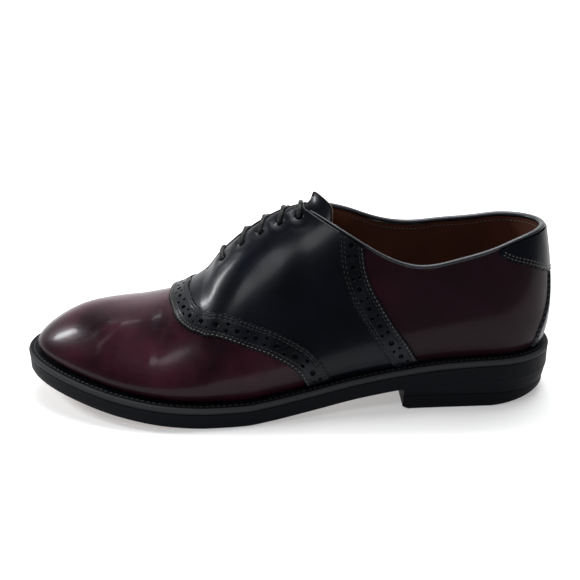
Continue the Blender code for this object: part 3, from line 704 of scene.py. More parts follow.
BURGUNDY = leather(
    "burgundy_calf",
    colour=(0.034, 0.0058, 0.0125),
    deep_tone_and_shade=(0.009, 0.0016, 0.0038),
    pale_tone_and_highlight=(0.070, 0.022, 0.034),
    rough=0.30,
    coat=0.16,
    coat_rough=0.15,
    specular=0.08,
)
BLACK = leather(
    "black_calf",
    colour=(0.0026, 0.0034, 0.0064),
    deep_tone_and_shade=(0.0014, 0.0018, 0.0032),
    pale_tone_and_highlight=(0.010, 0.013, 0.020),
    rough=0.32,
    coat=0.14,
    coat_rough=0.17,
    specular=0.08,
)
STRIP_BLACK = leather(
    "black_strip_calf",
    colour=(0.0036, 0.0044, 0.0074),
    deep_tone_and_shade=(0.0008, 0.0010, 0.0016),
    pale_tone_and_highlight=(0.018, 0.021, 0.027),
    rough=0.38,
    coat=0.10,
    coat_rough=0.22,
    specular=0.12,
)
BEAD_GREY = leather(
    "binding_calf",
    colour=(0.020, 0.021, 0.024),
    deep_tone_and_shade=(0.009, 0.009, 0.011),
    pale_tone_and_highlight=(0.05, 0.05, 0.05),
    rough=0.40,
    coat=0.15,
    coat_rough=0.3,
)
LINING = leather("lining_calf", (0.17, 0.055, 0.028), (0.07, 0.021, 0.011), (0.24, 0.10, 0.06), rough=0.60)
CUT_EDGE = leather("cut_edge", (0.16, 0.10, 0.055), (0.07, 0.04, 0.02), (0.3, 0.2, 0.12), rough=0.75)


def sole_finish():
    """Inked sole edge: dull, with layers that show faintly and fine scratches along it."""
    made = Finish("sole_edge")
    layers = made.noise(60.0, 5.0, 0.6, stretch=(0.25, 0.25, 22.0))
    scratches = made.noise(300.0, 3.0, 0.6, stretch=(0.2, 0.2, 3.0))
    ink, worn_ink, rim = (0.0024, 0.0028, 0.0044), (0.0042, 0.0048, 0.0068), (0.085, 0.088, 0.09)
    tone = made.mix(made.range(layers, 0.38, 0.66, 0.0, 1.0), ink, worn_ink)
    # Painted highlight: where the pale mark is set, on the welt's rounded rim, the edge takes the light
    # grey rim colour.
    tone = made.mix(made.mark("pale_tone_and_highlight"), tone, rim)
    made.link(tone, "Base Color")
    made.link(made.range(layers, 0.3, 0.7, 0.42, 0.62), "Roughness")
    made.set(Specular_IOR_Level=0.05)
    low = made.bump(layers, 0.0001, 0.4)
    made.link(made.bump(scratches, 0.00012, 0.4, low), "Normal")
    return made.material


def underside_finish():
    """Scuffed leather of the outsole's underside."""
    made = Finish("sole_leather")
    worn = made.noise(26.0, 5.0, 0.62)
    tone = made.mix(made.range(worn, 0.38, 0.62, 0.0, 1.0), (0.10, 0.068, 0.045), (0.20, 0.145, 0.10))
    made.link(tone, "Base Color")
    made.set(Roughness=0.78)
    made.link(made.bump(made.noise(240.0, 4.0), 0.0003, 0.5), "Normal")
    return made.material


def thread_finish(name, colour):
    """Dull thread with darker spots."""
    made = Finish(name)
    made.link(made.mix(made.noise(900.0, 2.0), tuple(c * 0.6 for c in colour), colour), "Base Color")
    made.set(Roughness=0.7)
    return made.material


def lace_finish():
    """Round waxed cord: a fine plait as crossing ribs."""
    made = Finish("waxed_cord")
    tone = made.mix(made.noise(500.0, 2.0), (0.0024, 0.0026, 0.0036), (0.007, 0.0075, 0.009))
    made.link(tone, "Base Color")
    made.set(Roughness=0.5, Specular_IOR_Level=0.16)
    made.link(made.bump(made.cells(1300.0), 0.0002, 0.6), "Normal")
    return made.material


SOLE_EDGE = sole_finish()
UNDERSIDE = underside_finish()
RUBBER = Finish("heel_rubber_worn").set(
    Base_Color=(0.0028, 0.0032, 0.0050, 1.0), Roughness=0.55, Specular_IOR_Level=0.05
).material
BLACK_THREAD = thread_finish("black_thread", (0.016, 0.017, 0.020))
TAN_THREAD = thread_finish("tan_thread", (0.16, 0.138, 0.118))
PALE_THREAD = thread_finish("pale_thread", (0.13, 0.12, 0.105))
CORD = lace_finish()


# Upper


EASE_WINDOW = 13
EASE_FROM = 0.72


def eased_angle(ups, tops):
    """Angles of a grid's rows. Where the top edge steps, only the rows near it follow."""
    half = EASE_WINDOW // 2
    pads = [(0, 0)] * (tops.ndim - 1) + [(half, half)]
    eased = mean_over(np.pad(tops, pads, "edge"), EASE_WINDOW, -1)
    near = np.clip((ups - EASE_FROM) / (1 - EASE_FROM), 0.0, 1.0) ** 2
    return ups * (eased + (tops - eased) * near)


def upper_places():
    """Places of the upper's ribs, with one at each end of the throat slit."""
    facing, slit = waist_place(FACING_TOP), waist_place(SLIT_FRONT)
    places = spread(0.0, 1.0, 44) + spread(1.0, facing, 44)[1:] + spread(facing, slit, 44)[1:]
    return np.array(places + spread(slit, 2.0, 5)[1:] + spread(2.0, 3.0, 70)[1:])


# line: points of a crease as (share along the last, turn). depth, width: metres.
# A negative depth is a ridge.
Crease = namedtuple("Crease", "line depth width")
CREASES = (
    Crease(((0.733, 1.30), (0.742, 0.95), (0.742, 0.62)), 0.00045, 0.0044),
    Crease(((0.818, 0.94), (0.835, 0.74), (0.850, 0.60), (0.857, 0.34)), -0.00034, 0.0021),
    Crease(((0.850, 0.90), (0.866, 0.70)), -0.00028, 0.0019),
    Crease(((0.752, 0.74), (0.757, 0.55), (0.762, 0.34)), -0.00022, 0.0022),
    Crease(((0.800, 0.56), (0.797, 0.36)), -0.00012, 0.0018),
    Crease(((0.780, 1.05), (0.783, 0.80), (0.778, 0.62)), 0.00025, 0.0040),
    Crease(((0.738, 1.85), (0.742, 2.15), (0.748, 2.50)), 0.00055, 0.0042),
    Crease(((0.820, 2.15), (0.838, 2.40), (0.850, 2.75)), -0.0003, 0.0021),
    Crease(((0.785, 2.05), (0.780, 2.45)), 0.0003, 0.0036),
)


def creased(turn, points):
    """How far the upper stands in or out at its creases."""
    share = share_at(points[..., 0])
    off = np.zeros(share.shape)
    for crease in CREASES:
        line = sorted(crease.line, key=lambda spot: spot[1])
        turns = [spot[1] for spot in line]
        middle = np.interp(turn, turns, [spot[0] for spot in line])
        distance = (share - middle) * LAST_LENGTH / crease.width
        reach = ramp(turn, turns[0] - 0.16, turns[0] + 0.20)
        reach = reach * (1 - ramp(turn, turns[-1] - 0.20, turns[-1] + 0.16))
        off -= crease.depth * (1 - 0.45 * distance**2) * np.exp(-(distance**2) / 1.6) * reach
    return off


def build_upper():
    """The hollow upper: creased calf outside, lining inside, black at its cut edges."""
    places = upper_places()
    ups = np.array(spread(0.0, 1.0, 60))
    grids = []
    for side in (LATERAL, MEDIAL):
        tops = np.broadcast_to(top_angle(places, side), (len(ups), len(places)))
        angle = eased_angle(ups[:, None], tops).T
        turn = turn_of(side, angle)
        note = np.stack((np.broadcast_to(places[:, None], turn.shape), turn), -1)
        grids.append((last(places[:, None], side, angle), note, side == MEDIAL))
    points, faces, where = sheet(grids)
    normals = vertex_normals(points, faces)
    inside = np.array((-0.1, 0.0, 0.05))
    if (normals * (points - inside)).sum() < 0:
        normals = -normals
    turn = where[:, 1]
    outer = points + normals * creased(turn, points)[:, None]
    solid, rings, kinds = shell(outer, points - normals * WALL, faces)
    share = share_at(points[:, 0])
    low = angle_of(turn)
    # Painted shade: the deep mark darkens a band just above the feather edge, where the upper turns under,
    # and the quarter behind the waist, to hold down its reflection; it also darkens towards the toe tip.
    deep_tone_and_shade = 0.75 * bump_at(low - 0.10, 0.10)
    deep_tone_and_shade += 0.5 * ramp(share, 0.93, 1.02) + 0.85 * ramp(0.45 - share, 0.0, 0.2)
    # Painted highlight: the pale mark lightens the vamp up towards its crest, where it reflects the light
    # above; the noise adds random paler tone.
    pale_tone_and_highlight = 0.35 * ramp(low, 0.9, 1.5) * ramp(share, 0.66, 0.75)
    pale_tone_and_highlight += 0.2 * noise_at(points, 0.03, 3).clip(0, 1)
    marks = {"deep_tone_and_shade": np.tile(np.clip(deep_tone_and_shade, 0, 1), 2), "pale_tone_and_highlight": np.tile(np.clip(pale_tone_and_highlight, 0, 1), 2)}
    finishes = (BURGUNDY, LINING, BLACK)
    add_piece("upper_leather", solid, rings, finishes, kinds, "upper", marks)


# Saddle strips


class Band:
    """A band of the surface beside a line: rows run along the line, columns lie inwards from it."""

    STEP = 0.0006
    SOFT_LENGTH = 0.004

    def __init__(self, place, turn, width, inward):
        run = run_along(surface(place, turn))
        self.along = np.linspace(0.0, run[-1], max(8, int(run[-1] / self.STEP)))
        place, turn = np.interp(self.along, run, place), np.interp(self.along, run, turn)
        window = int(self.SOFT_LENGTH / self.STEP) | 1
        place, turn = self.softened(place, window), self.softened(turn, window)
        self.steps = np.linspace(0.0, width, 6)
        self.lines = [(place, turn)]
        for low, high in zip(self.steps, self.steps[1:]):
            here = surface(place, turn)
            ahead = unit(self.softened(np.gradient(here, axis=0), window))
            across = unit(np.cross(normals_at(place, turn), ahead)) * inward
            place, turn = settle(here + across * (high - low), place, turn)
            self.lines.append((place, turn))

    @staticmethod
    def softened(values, window):
        pad = window // 2
        if values.ndim == 1:
            before = values[0] + (values[1] - values[0]) * np.arange(-pad, 0)
            after = values[-1] + (values[-1] - values[-2]) * np.arange(1, pad + 1)
        else:
            before, after = values[:1].repeat(pad, 0), values[-1:].repeat(pad, 0)
        return mean_over(np.concatenate((before, values, after)), window)

    def at(self, along, inset):
        """Place and turn at distances along and inwards, for arrays of both."""
        places = np.stack([np.interp(along, self.along, place) for place, _ in self.lines])
        turns = np.stack([np.interp(along, self.along, turn) for _, turn in self.lines])
        spot = np.clip(inset / self.steps[1], 0.0, len(self.steps) - 1.000001)
        k = spot.astype(int)
        t = spot - k

        def pick(values):
            low = np.take_along_axis(values, k[None], 0)[0]
            high = np.take_along_axis(values, k[None] + 1, 0)[0]
            return low + (high - low) * t

        return pick(places), pick(turns)

    def ends(self, inset, foot, top=None):
        """From where to where a line at this inset runs: between its feet, or from its foot to the top."""
        along = self.along
        place, turn = self.at(along, np.full(len(along), inset))
        angle = angle_of(turn)
        inside = angle > foot
        if top is not None:
            inside &= angle < top_angle(place, top)
        kept = np.nonzero(inside)[0]
        return along[kept[0]], along[kept[-1]]


def edge_band(column, side=None):
    """The band inside the saddle's front edge, over both sides, or inside its rear edge on one side."""
    ups = np.linspace(-0.12, 1.0 if side is None else 1.25, 160)
    edge = FRONT_EDGE if column == "front" else REAR_EDGE
    places, turns = [], []
    for each in (LATERAL, MEDIAL) if side is None else (side,):
        place = edge(ups)
        turn = turn_of(each, ups * top_angle(place, each))
        if each == MEDIAL and side is None:
            place, turn = place[::-1][1:], turn[::-1][1:]
        places.append(place)
        turns.append(turn)
    inward = -1 if column == "front" or side == MEDIAL else 1
    return Band(np.concatenate(places), np.concatenate(turns), STRIP_WIDTH + Band.STEP, inward)


FOOT_ANGLE = 0.03
STRIP_TOP = SKIN_GAP + SADDLE_THICKNESS + STRIP_STEP
PINK_PITCH = 0.0022
PINK_DEPTH = 0.0008
HOLE_PITCH = 0.0104
BIG_HOLE = 0.00125
SMALL_HOLE = 0.00068
SMALL_HOLE_OFF = 0.0018
HOLE_DEPTH = 0.0014
STITCH_ROWS = (0.0017, 0.0032)
STITCH_PITCH = 0.0023
STITCH_LENGTH = 0.00145
STITCH_RADIUS = 0.00022
STITCH_TAPER = np.array((0.5, 0.9, 1.0, 0.9, 0.5))
STITCH_SINK = np.array((-0.0003, -0.00005, 0.0001, -0.00005, -0.0003))
SEAM_WIDTH = 0.0004
SEAM_DEPTH = 0.00022
EDGE_ROUND = 0.0006
SKIN_TOUCH = 0.00005


def rounded_edge(distance):
    """Share of the full height at a distance from a cut edge."""
    return np.sqrt(1 - (1 - np.clip(distance / EDGE_ROUND, 0, 1)) ** 2)


def pinked(along):
    """How far a pinked edge is cut in at a distance along it."""
    phase = (along / PINK_PITCH) % 1.0
    return PINK_DEPTH * np.abs(2 * phase - 1)


def brogued(along, inset):
    """Share of the way down into a punched hole, 1 at its bottom."""
    middle = inset - STRIP_WIDTH / 2
    near = (along / HOLE_PITCH) % 1.0
    big = np.hypot((near - 0.5) * HOLE_PITCH, middle)
    beside = np.minimum(near, 1 - near) * HOLE_PITCH
    small = np.hypot(beside, np.abs(middle) - SMALL_HOLE_OFF)
    hole = 1 - ramp(big, BIG_HOLE - 0.00025, BIG_HOLE + 0.0001)
    return np.maximum(hole, 1 - ramp(small, SMALL_HOLE - 0.0002, SMALL_HOLE + 0.00012))


def build_strip(name, band, top, node):
    """A pinked and brogued strip along an edge of the saddle."""
    step = 0.00033
    fine = (0.0, 0.0002, 0.00045, 0.0008)
    middle = list(np.arange(0.0012, STRIP_WIDTH - 0.0011, step))
    insets = np.array(list(fine) + middle + [STRIP_WIDTH - f for f in reversed(fine)])
    spans = np.array([band.ends(min(i, STRIP_WIDTH), FOOT_ANGLE, top) for i in insets])
    rows = int((spans[:, 1] - spans[:, 0]).max() / step)
    share = np.linspace(0.0, 1.0, rows)[:, None]
    along = spans[:, 0] + (spans[:, 1] - spans[:, 0]) * share
    cut = pinked(along)
    near, far = insets, STRIP_WIDTH - insets
    inset = insets + cut * (1 - ramp(near, 0.0, 0.0018)) - cut * (1 - ramp(far, 0.0, 0.0018))
    place, turn = band.at(along, inset)
    base, out = surface(place, turn), normals_at(place, turn)
    edge = np.minimum(near, far)
    hole = brogued(along, inset)
    seam = sum(bump_at(np.abs(edge - row), SEAM_WIDTH) for row in STITCH_ROWS)
    height = SKIN_GAP + (STRIP_TOP - SKIN_GAP) * rounded_edge(edge) - hole * HOLE_DEPTH - seam * SEAM_DEPTH
    high = (base + out * height[..., None]).reshape(-1, 3)
    low = (base + out * SKIN_TOUCH).reshape(-1, 3)
    solid, rings, _ = shell(high, low, grid_faces(rows, len(insets)))
    # Painted shade: the deep mark darkens the punched holes and the stitch grooves; the pale mark is random
    # paler tone.
    deep_tone_and_shade = np.clip(hole + 0.7 * seam, 0, 1).reshape(-1)
    pale_tone_and_highlight = 0.3 * noise_at(high, 0.012, 5).clip(0, 1) * (1 - hole.reshape(-1))
    marks = {"deep_tone_and_shade": np.tile(deep_tone_and_shade, 2), "pale_tone_and_highlight": np.tile(pale_tone_and_highlight, 2)}
    add_piece(name, solid, rings, (STRIP_BLACK,), None, node, marks, 50)


def stitch_row(band, inset, top, height):
    """Stitches along a line of a band, each a short rounded bar that dips at its ends."""
    low, high = band.ends(inset, FOOT_ANGLE + 0.01, top)
    shares = np.array((-0.5, -0.3, 0.0, 0.3, 0.5))
    parts = []
    for middle in np.arange(low + STITCH_PITCH / 2, high - STITCH_PITCH / 2, STITCH_PITCH):
        place, turn = band.at(middle + shares * STITCH_LENGTH, np.full(len(shares), inset))
        path = surface(place, turn) + normals_at(place, turn) * (height + STITCH_SINK)[:, None]
        parts.append(tube(path, STITCH_RADIUS * STITCH_TAPER, 5, (0.0, 0.3, 1.0)))
    return parts


# offsets: where a stitch's points lie from its middle. rise: how far they stand off the line.
Stitch = namedtuple("Stitch", "pitch offsets radii sides guide rise")


def seam_along(line, start, end, stitch):
    """Stitches along a line, from start to end before its last point."""
    run = run_along(line)
    parts = []
    for middle in np.arange(start, run[-1] - end, stitch.pitch):
        along = middle + np.array(stitch.offsets)
        path = np.stack([np.interp(along, run, line[:, k]) for k in range(3)], -1)
        path[:, 2] += np.array(stitch.rise)
        parts.append(tube(path, stitch.radii, stitch.sides, stitch.guide))
    return parts


def build_stitches(name, parts, finish):
    points, faces = joined(parts)
    add_piece(name, points, faces, (finish,), None)


def build_strips():
    """The three strips with two rows of stitches along each edge, the outermost row in tan."""
    front = edge_band("front")
    rear = {side: edge_band("rear", side) for side in (LATERAL, MEDIAL)}
    build_strip("vamp_strip_brogued", front, None, "vamp_strip")
    build_strip("quarter_strip_outer_brogued", rear[LATERAL], LATERAL, "quarter_strip_outer")
    build_strip("quarter_strip_inner_brogued", rear[MEDIAL], MEDIAL, "quarter_strip_inner")
    top = STRIP_TOP - 0.0001
    parts, edge_parts = [], []
    for band, side in ((front, None), (rear[LATERAL], LATERAL), (rear[MEDIAL], MEDIAL)):
        for inset in STITCH_ROWS:
            row = stitch_row(band, inset, side, top)
            (edge_parts if inset == STITCH_ROWS[0] else parts).extend(row)
            parts += stitch_row(band, STRIP_WIDTH - inset, side, top)
    build_stitches("strip_stitches", parts, BLACK_THREAD)
    build_stitches("strip_edge_stitches", edge_parts, TAN_THREAD)
    return front, rear


# Saddle


def eyelet(number, side):
    """Place and share up of an eyelet, counted from the toe."""
    low, high = waist_place(SLIT_FRONT), waist_place(FACING_TOP)
    places = np.linspace(low, high - 1e-4, 60)
    edge = last(places, side, top_angle(places, side))
    length = run_along(edge)[-1]
    between = length - EYELET_TOP_MARGIN - EYELET_FRONT_MARGIN
    wanted = EYELET_FRONT_MARGIN + between * number / (EYELETS - 1)
    place = low + (high - low) * wanted / length
    top = float(top_angle(place, side))
    corner = last(place, side, top)
    ups = np.linspace(0.5, 1.0, 400)
    away = np.linalg.norm(last(place, side, ups * top) - corner, axis=-1)
    return place, float(ups[np.argmin(np.abs(away - EYELET_INSET))]), top


def build_saddle(front, rear):
    """The black saddle between its strips, with its facings, eyelet holes and the pull of the laces."""
    under = 0.0018
    ups = np.concatenate((np.linspace(OVERLAY_FOOT, 0.72, 74), np.linspace(0.72, 1.0, 62)[1:]))
    grids = []
    slit = waist_place(SLIT_FRONT)
    front_place, front_turn = front.at(front.along, np.full(len(front.along), STRIP_WIDTH - under))
    for side in (LATERAL, MEDIAL):
        band = rear[side]
        rear_place, rear_turn = band.at(band.along, np.full(len(band.along), STRIP_WIDTH - under))
        half = front_turn <= CREST if side == LATERAL else front_turn >= CREST
        front_angle, rear_angle = angle_of(front_turn[half]), angle_of(rear_turn)
        order, rear_order = np.argsort(front_angle), np.argsort(rear_angle)
        near = np.full(len(ups), 1.9)
        far = np.full(len(ups), 1.4)
        for _ in range(12):
            near = np.interp(ups * top_angle(near, side), front_angle[order], front_place[half][order])
            far = np.interp(ups * top_angle(far, side), rear_angle[rear_order], rear_place[rear_order])
        if side == LATERAL:
            crest_near = near[-1]
        near[-1] = crest_near
        ratio = (slit - far[-1]) / (near[-1] - far[-1])
        across = np.array(spread(0.0, ratio, 104) + spread(ratio, 1.0, 16)[1:])
        places = far[:, None] + (near - far)[:, None] * across
        angle = eased_angle(ups[:, None], top_angle(places, side))
        note = np.stack((places, turn_of(side, angle)), -1)
        grids.append((last(places, side, angle), note, side == LATERAL))
    points, faces, where = sheet(grids)
    place, turn = where[:, 0], where[:, 1]
    out = normals_at(place, turn)
    height, hole = facing_relief(points, place, turn)
    solid, rings, _ = shell(points + out * height[:, None], points + out * 0.0001, faces)
    # Painted shade: the deep mark darkens the eyelet holes; the pale mark is random paler tone.
    pale_tone_and_highlight = np.clip(0.25 * noise_at(points, 0.05, 11), 0, 1)
    marks = {"deep_tone_and_shade": np.tile(hole, 2), "pale_tone_and_highlight": np.tile(pale_tone_and_highlight, 2)}
    add_piece("saddle_leather", solid, rings, (BLACK,), None, "saddle", marks, 50)


DIMPLE_DEPTH = 0.0004
PUCKER_HEIGHT = 0.0002
PUCKER_REACH = 0.0060


def facing_relief(points, place, turn):
    """Height of the saddle over the skin, and where its eyelet holes are."""
    height = np.full(len(points), SKIN_GAP + SADDLE_THICKNESS)
    hole = np.zeros(len(points))
    foot, _, _ = rib(place)
    opened = foot < SLIT_FRONT
    side = np.where(turn < CREST, LATERAL, MEDIAL)
    edge = last(place, side, top_angle(place, side))
    from_edge = np.where(opened, np.linalg.norm(points - edge, axis=1), 0.02)
    rounding = 1 - np.clip(from_edge / 0.0012, 0, 1)
    height -= 0.0007 * rounding**2
    for each in (LATERAL, MEDIAL):
        for number in range(EYELETS):
            at_place, up, top = eyelet(number, each)
            spot = last(at_place, each, up * top)
            away = np.linalg.norm(points - spot, axis=1)
            hole = np.maximum(hole, 1 - ramp(away, EYELET_RADIUS * 0.85, EYELET_RADIUS * 1.25))
            height -= DIMPLE_DEPTH * bump_at(away, 0.0034)
            height += PUCKER_HEIGHT * bump_at(away - PUCKER_REACH, 0.0024)
    height -= hole * 0.0010
    inner = ramp(FACING_TOP + 0.035 - foot, -0.03, 0.0)
    lean = 0.0008 * bump_at(from_edge - 0.021, 0.0075) * ramp(angle_of(turn), 0.5, 0.9) * (1 - inner)
    height += np.where(opened, lean * (0.6 + 0.4 * noise_at(points, 0.02, 21)), 0.0)
    return np.maximum(height, 0.00025), hole


# Heel tab, backstay and binding

TAB_STITCH_ROWS = (0.0013, 0.0029)
LINING_STITCH = Stitch(
    pitch=0.0024,
    offsets=(-0.0008, -0.0004, 0.0, 0.0004, 0.0008),
    radii=0.00024 * STITCH_TAPER,
    sides=5,
    guide=(0.1, 0.3, 1.0),
    rise=0.0,
)


def solid_patch(name, grids, thickness, finish, node, pale_tone_and_highlight=0.0):
    """A closed piece over the surface, from grids of place, turn, distance to the cut edge and flip."""
    sheets = []
    for place, turn, edge, flip in grids:
        sheets.append((surface(place, turn), np.stack((place, turn, edge), -1), flip))
    points, faces, notes = sheet(sheets)
    out = normals_at(notes[:, 0], notes[:, 1])
    height = SKIN_GAP + thickness * rounded_edge(notes[:, 2])
    solid, rings, _ = shell(points + out * height[:, None], points + out * SKIN_TOUCH, faces)
    marks = {"deep_tone_and_shade": np.zeros(len(solid)), "pale_tone_and_highlight": np.full(len(solid), pale_tone_and_highlight)}
    add_piece(name, solid, rings, (finish,), None, node, marks, 50)


def notched(along, count):
    """A zigzag from 0 to 1, count notches along a line."""
    return np.abs(2 * ((along * count) % 1.0) - 1)


def build_heel_tab():
    """The black tab behind the heel, its lower edge pinked, with two rows of stitches along it."""
    share = np.linspace(0.0, 1.0, 90)
    rows = np.linspace(0.0, 1.0, 22)
    grids = []
    for side in (LATERAL, MEDIAL):
        place = np.broadcast_to((share * TAB_REACH)[:, None], (len(share), len(rows)))
        start = TAB_UP(share) + 0.012 * notched(share, 14)
        up = start[:, None] + (1.0 - start)[:, None] * rows
        turn = turn_of(side, up * top_angle(share * TAB_REACH, side)[:, None])
        edge = (up - start[:, None]) * 0.075
        grids.append((place, turn, edge, side == MEDIAL))
    solid_patch("heel_tab_leather", grids, TAB_THICKNESS, BLACK, "heel_tab")
    parts = []
    for side in (LATERAL, MEDIAL):
        along = np.linspace(0.0, 1.0, 120)
        place = along * TAB_REACH
        turn = turn_of(side, (TAB_UP(along) + 0.006) * top_angle(place, side))
        edge = Band(place, turn, 0.005, -1 if side == LATERAL else 1)
        for inset in TAB_STITCH_ROWS:
            parts += stitch_row(edge, inset, None, SKIN_GAP + TAB_THICKNESS + 0.00005)
    build_stitches("heel_tab_stitches", parts, PALE_THREAD)


def build_backstay():
    """The strip down the back seam, its edges notched, wider towards its foot."""
    ups = np.linspace(OVERLAY_FOOT, TAB_EDGE[0].up + 0.01, 70)
    across = np.linspace(0.0, 1.0, 16)
    grids = []
    for side in (LATERAL, MEDIAL):
        reach = BACKSTAY_PLACE(ups) - 0.022 * notched(ups, 24)
        place = reach[:, None] * across
        turn = turn_of(side, ups[:, None] * top_angle(place, side))
        edge = (1 - across)[None] * reach[:, None] * 0.05
        grids.append((place, turn, edge, side == LATERAL))
    solid_patch("backstay_leather", grids, TAB_THICKNESS * 0.9, STRIP_BLACK, "backstay", 0.3)


def topline(side, places):
    """The upper's top edge with its outward and upward directions."""
    top = top_angle(places, side)
    edge = last(places, side, top)
    out = normals_at(places, turn_of(side, top))
    rise = unit(edge - last(places, side, top - 0.05))
    return edge, out, rise


def evened(path, window):
    """A path with its small kinks averaged out, its ends kept."""
    half = window // 2
    ahead = 2 * path[-1] - path[-2 : -2 - half : -1]
    before = 2 * path[0] - path[half:0:-1]
    return mean_over(np.concatenate((before, path, ahead)), window)


def build_binding():
    """The bead along the collar, and the stitches under it on the lining."""
    places = upper_places()
    places = places[rib(places)[0] < FACING_TOP - 0.001]
    fronts = []
    for side in (LATERAL, MEDIAL):
        edge, out, rise = topline(side, places)
        centre = edge - out * (WALL / 2 - 0.0003) + rise * (GAP + BINDING_HEIGHT * 0.36)
        fronts.append((centre, out, rise))
    centre, out, rise = (np.concatenate((left[::-1], right[1:])) for left, right in zip(*fronts))
    centre = evened(centre, 9)
    sides = 12
    turns = np.arange(sides) * 2 * math.pi / sides
    taper = np.ones(len(centre))
    taper[:3], taper[-3:] = (0.5, 0.8, 0.95), (0.95, 0.8, 0.5)
    rings = (
        centre[:, None]
        + out[:, None] * (np.cos(turns) * BINDING_WIDTH / 2 * taper[:, None])[..., None]
        + rise[:, None] * (np.sin(turns) * BINDING_HEIGHT / 2 * taper[:, None])[..., None]
    )
    points, faces = rings.reshape(-1, 3), tube_faces(len(centre), sides)
    marks = {"deep_tone_and_shade": np.zeros(len(points)), "pale_tone_and_highlight": 0.3 * np.clip(noise_at(points, 0.02, 8), 0, 1)}
    add_piece("collar_bead", points, faces, (BEAD_GREY,), None, "collar_binding", marks, 60)
    parts = []
    for side in (LATERAL, MEDIAL):
        edge, out, rise = topline(side, np.linspace(0.02, places[-1], 900))
        line = edge - out * (WALL + 0.0001) - rise * 0.0024
        parts += seam_along(line, 0.002, 0.002, LINING_STITCH)
    build_stitches("lining_stitches", parts, PALE_THREAD)


# Tongue and laces


def tongue_point(foot, side, across):
    """A point over the tongue: across is 0 on the crest and 1 at its edge."""
    place = waist_place(foot)
    if foot > TOE_FAN:
        place = 2 + 2 / math.pi * math.asin((foot - TOE_FAN) / ((1 - TOE_FAN) * FAN_REACH))
    share = (TONGUE_FRONT - foot) / (TONGUE_FRONT - FACING_TOP)
    widen = TONGUE_FRONT_WIDTH + (1 - TONGUE_FRONT_WIDTH) * min(1.0, share / TONGUE_WIDENS_BY)
    down = np.linspace(0.0, 1.3, 400)
    ridge = last(place, side, CREST)
    away = np.linalg.norm(last(place, side, CREST - down) - ridge, axis=-1)
    angle = CREST - np.interp(across * TONGUE_HALF_WIDTH * widen, away, down)
    return last(place, side, angle)


def eased_rows(rows, first=10, rounds=4):
    """Rows of the tongue past the facings, each drawn towards the mean of its neighbours."""
    for _ in range(rounds):
        for k in range(first, len(rows) - 1):
            rows[k] = 0.5 * rows[k] + 0.25 * (rows[k - 1] + rows[k + 1])
    return rows


def build_tongue():
    """The tongue: under the facings, then out past their top, rising and curling back."""
    depth = WALL + TONGUE_CLEARANCE
    feet = np.linspace(TONGUE_FRONT, FACING_TOP, 14)
    columns = np.array((1.0, 0.88, 0.76, 0.66, 0.56, 0.48, 0.41, 0.34, 0.27, 0.2, 0.13, 0.06, 0.0))
    outer = np.minimum(1.0, columns / TONGUE_CLEAR_REACH)
    clear = TONGUE_CLEAR_MIDDLE + (TONGUE_CLEAR_SIDE - TONGUE_CLEAR_MIDDLE) * outer
    hump = TONGUE_RISE * np.maximum(0.0, 1 - (columns / TONGUE_HUMP) ** 2) ** 1.5
    grids = []
    for side in (LATERAL, MEDIAL):
        rows = [np.array([tongue_point(foot, side, a) for a in columns]) for foot in feet]
        top = rows[-1]
        for end in TONGUE_END:
            back = clear + end.past + end.sweep * outer
            rows.append(top + np.stack((back, 0 * back, TONGUE_END_SLOPE * back + end.rise * hump), -1))
        grid = np.array(eased_rows(rows))
        grids.append((grid, grid, side == LATERAL))
    points, faces, _ = sheet(grids)
    out = vertex_normals(points, faces)
    out = out if out[:, 2].sum() > 0 else -out
    solid, rings, kinds = shell(points - out * depth, points - out * (depth + TONGUE_THICKNESS), faces)
    marks = {"deep_tone_and_shade": np.zeros(len(solid)), "pale_tone_and_highlight": np.zeros(len(solid))}
    finishes = (BLACK, LINING, CUT_EDGE)
    made = add_piece("tongue_leather", solid, rings, finishes, kinds, "tongue", marks)
    soften = made.modifiers.new("soften", "SUBSURF")
    soften.levels = soften.render_levels = 2


def over_facing(place, side, up, height):
    """A point at a height over the skin of the facing, up its rib."""
    angle = up * top_angle(place, side)
    return last(place, side, angle) + normals_at(place, turn_of(side, angle)) * height


LACE_FLAT = 0.55
LACE_DIP = 0.0022
LACE_HEIGHT = SKIN_GAP + SADDLE_THICKNESS + LACE_RADIUS * LACE_FLAT


def eyelet_start(number, side):
    """Lace points that come up out of an eyelet."""
    place, up, _ = eyelet(number, side)
    place = np.array(place)
    inner = over_facing(place, side, up - 0.006, -0.0008)
    mouth = over_facing(place, side, up + 0.002, 0.0011)
    return [inner, mouth]


def cord(path):
    return tube(smooth_path(path, 7), LACE_RADIUS, 14, flat=LACE_FLAT)


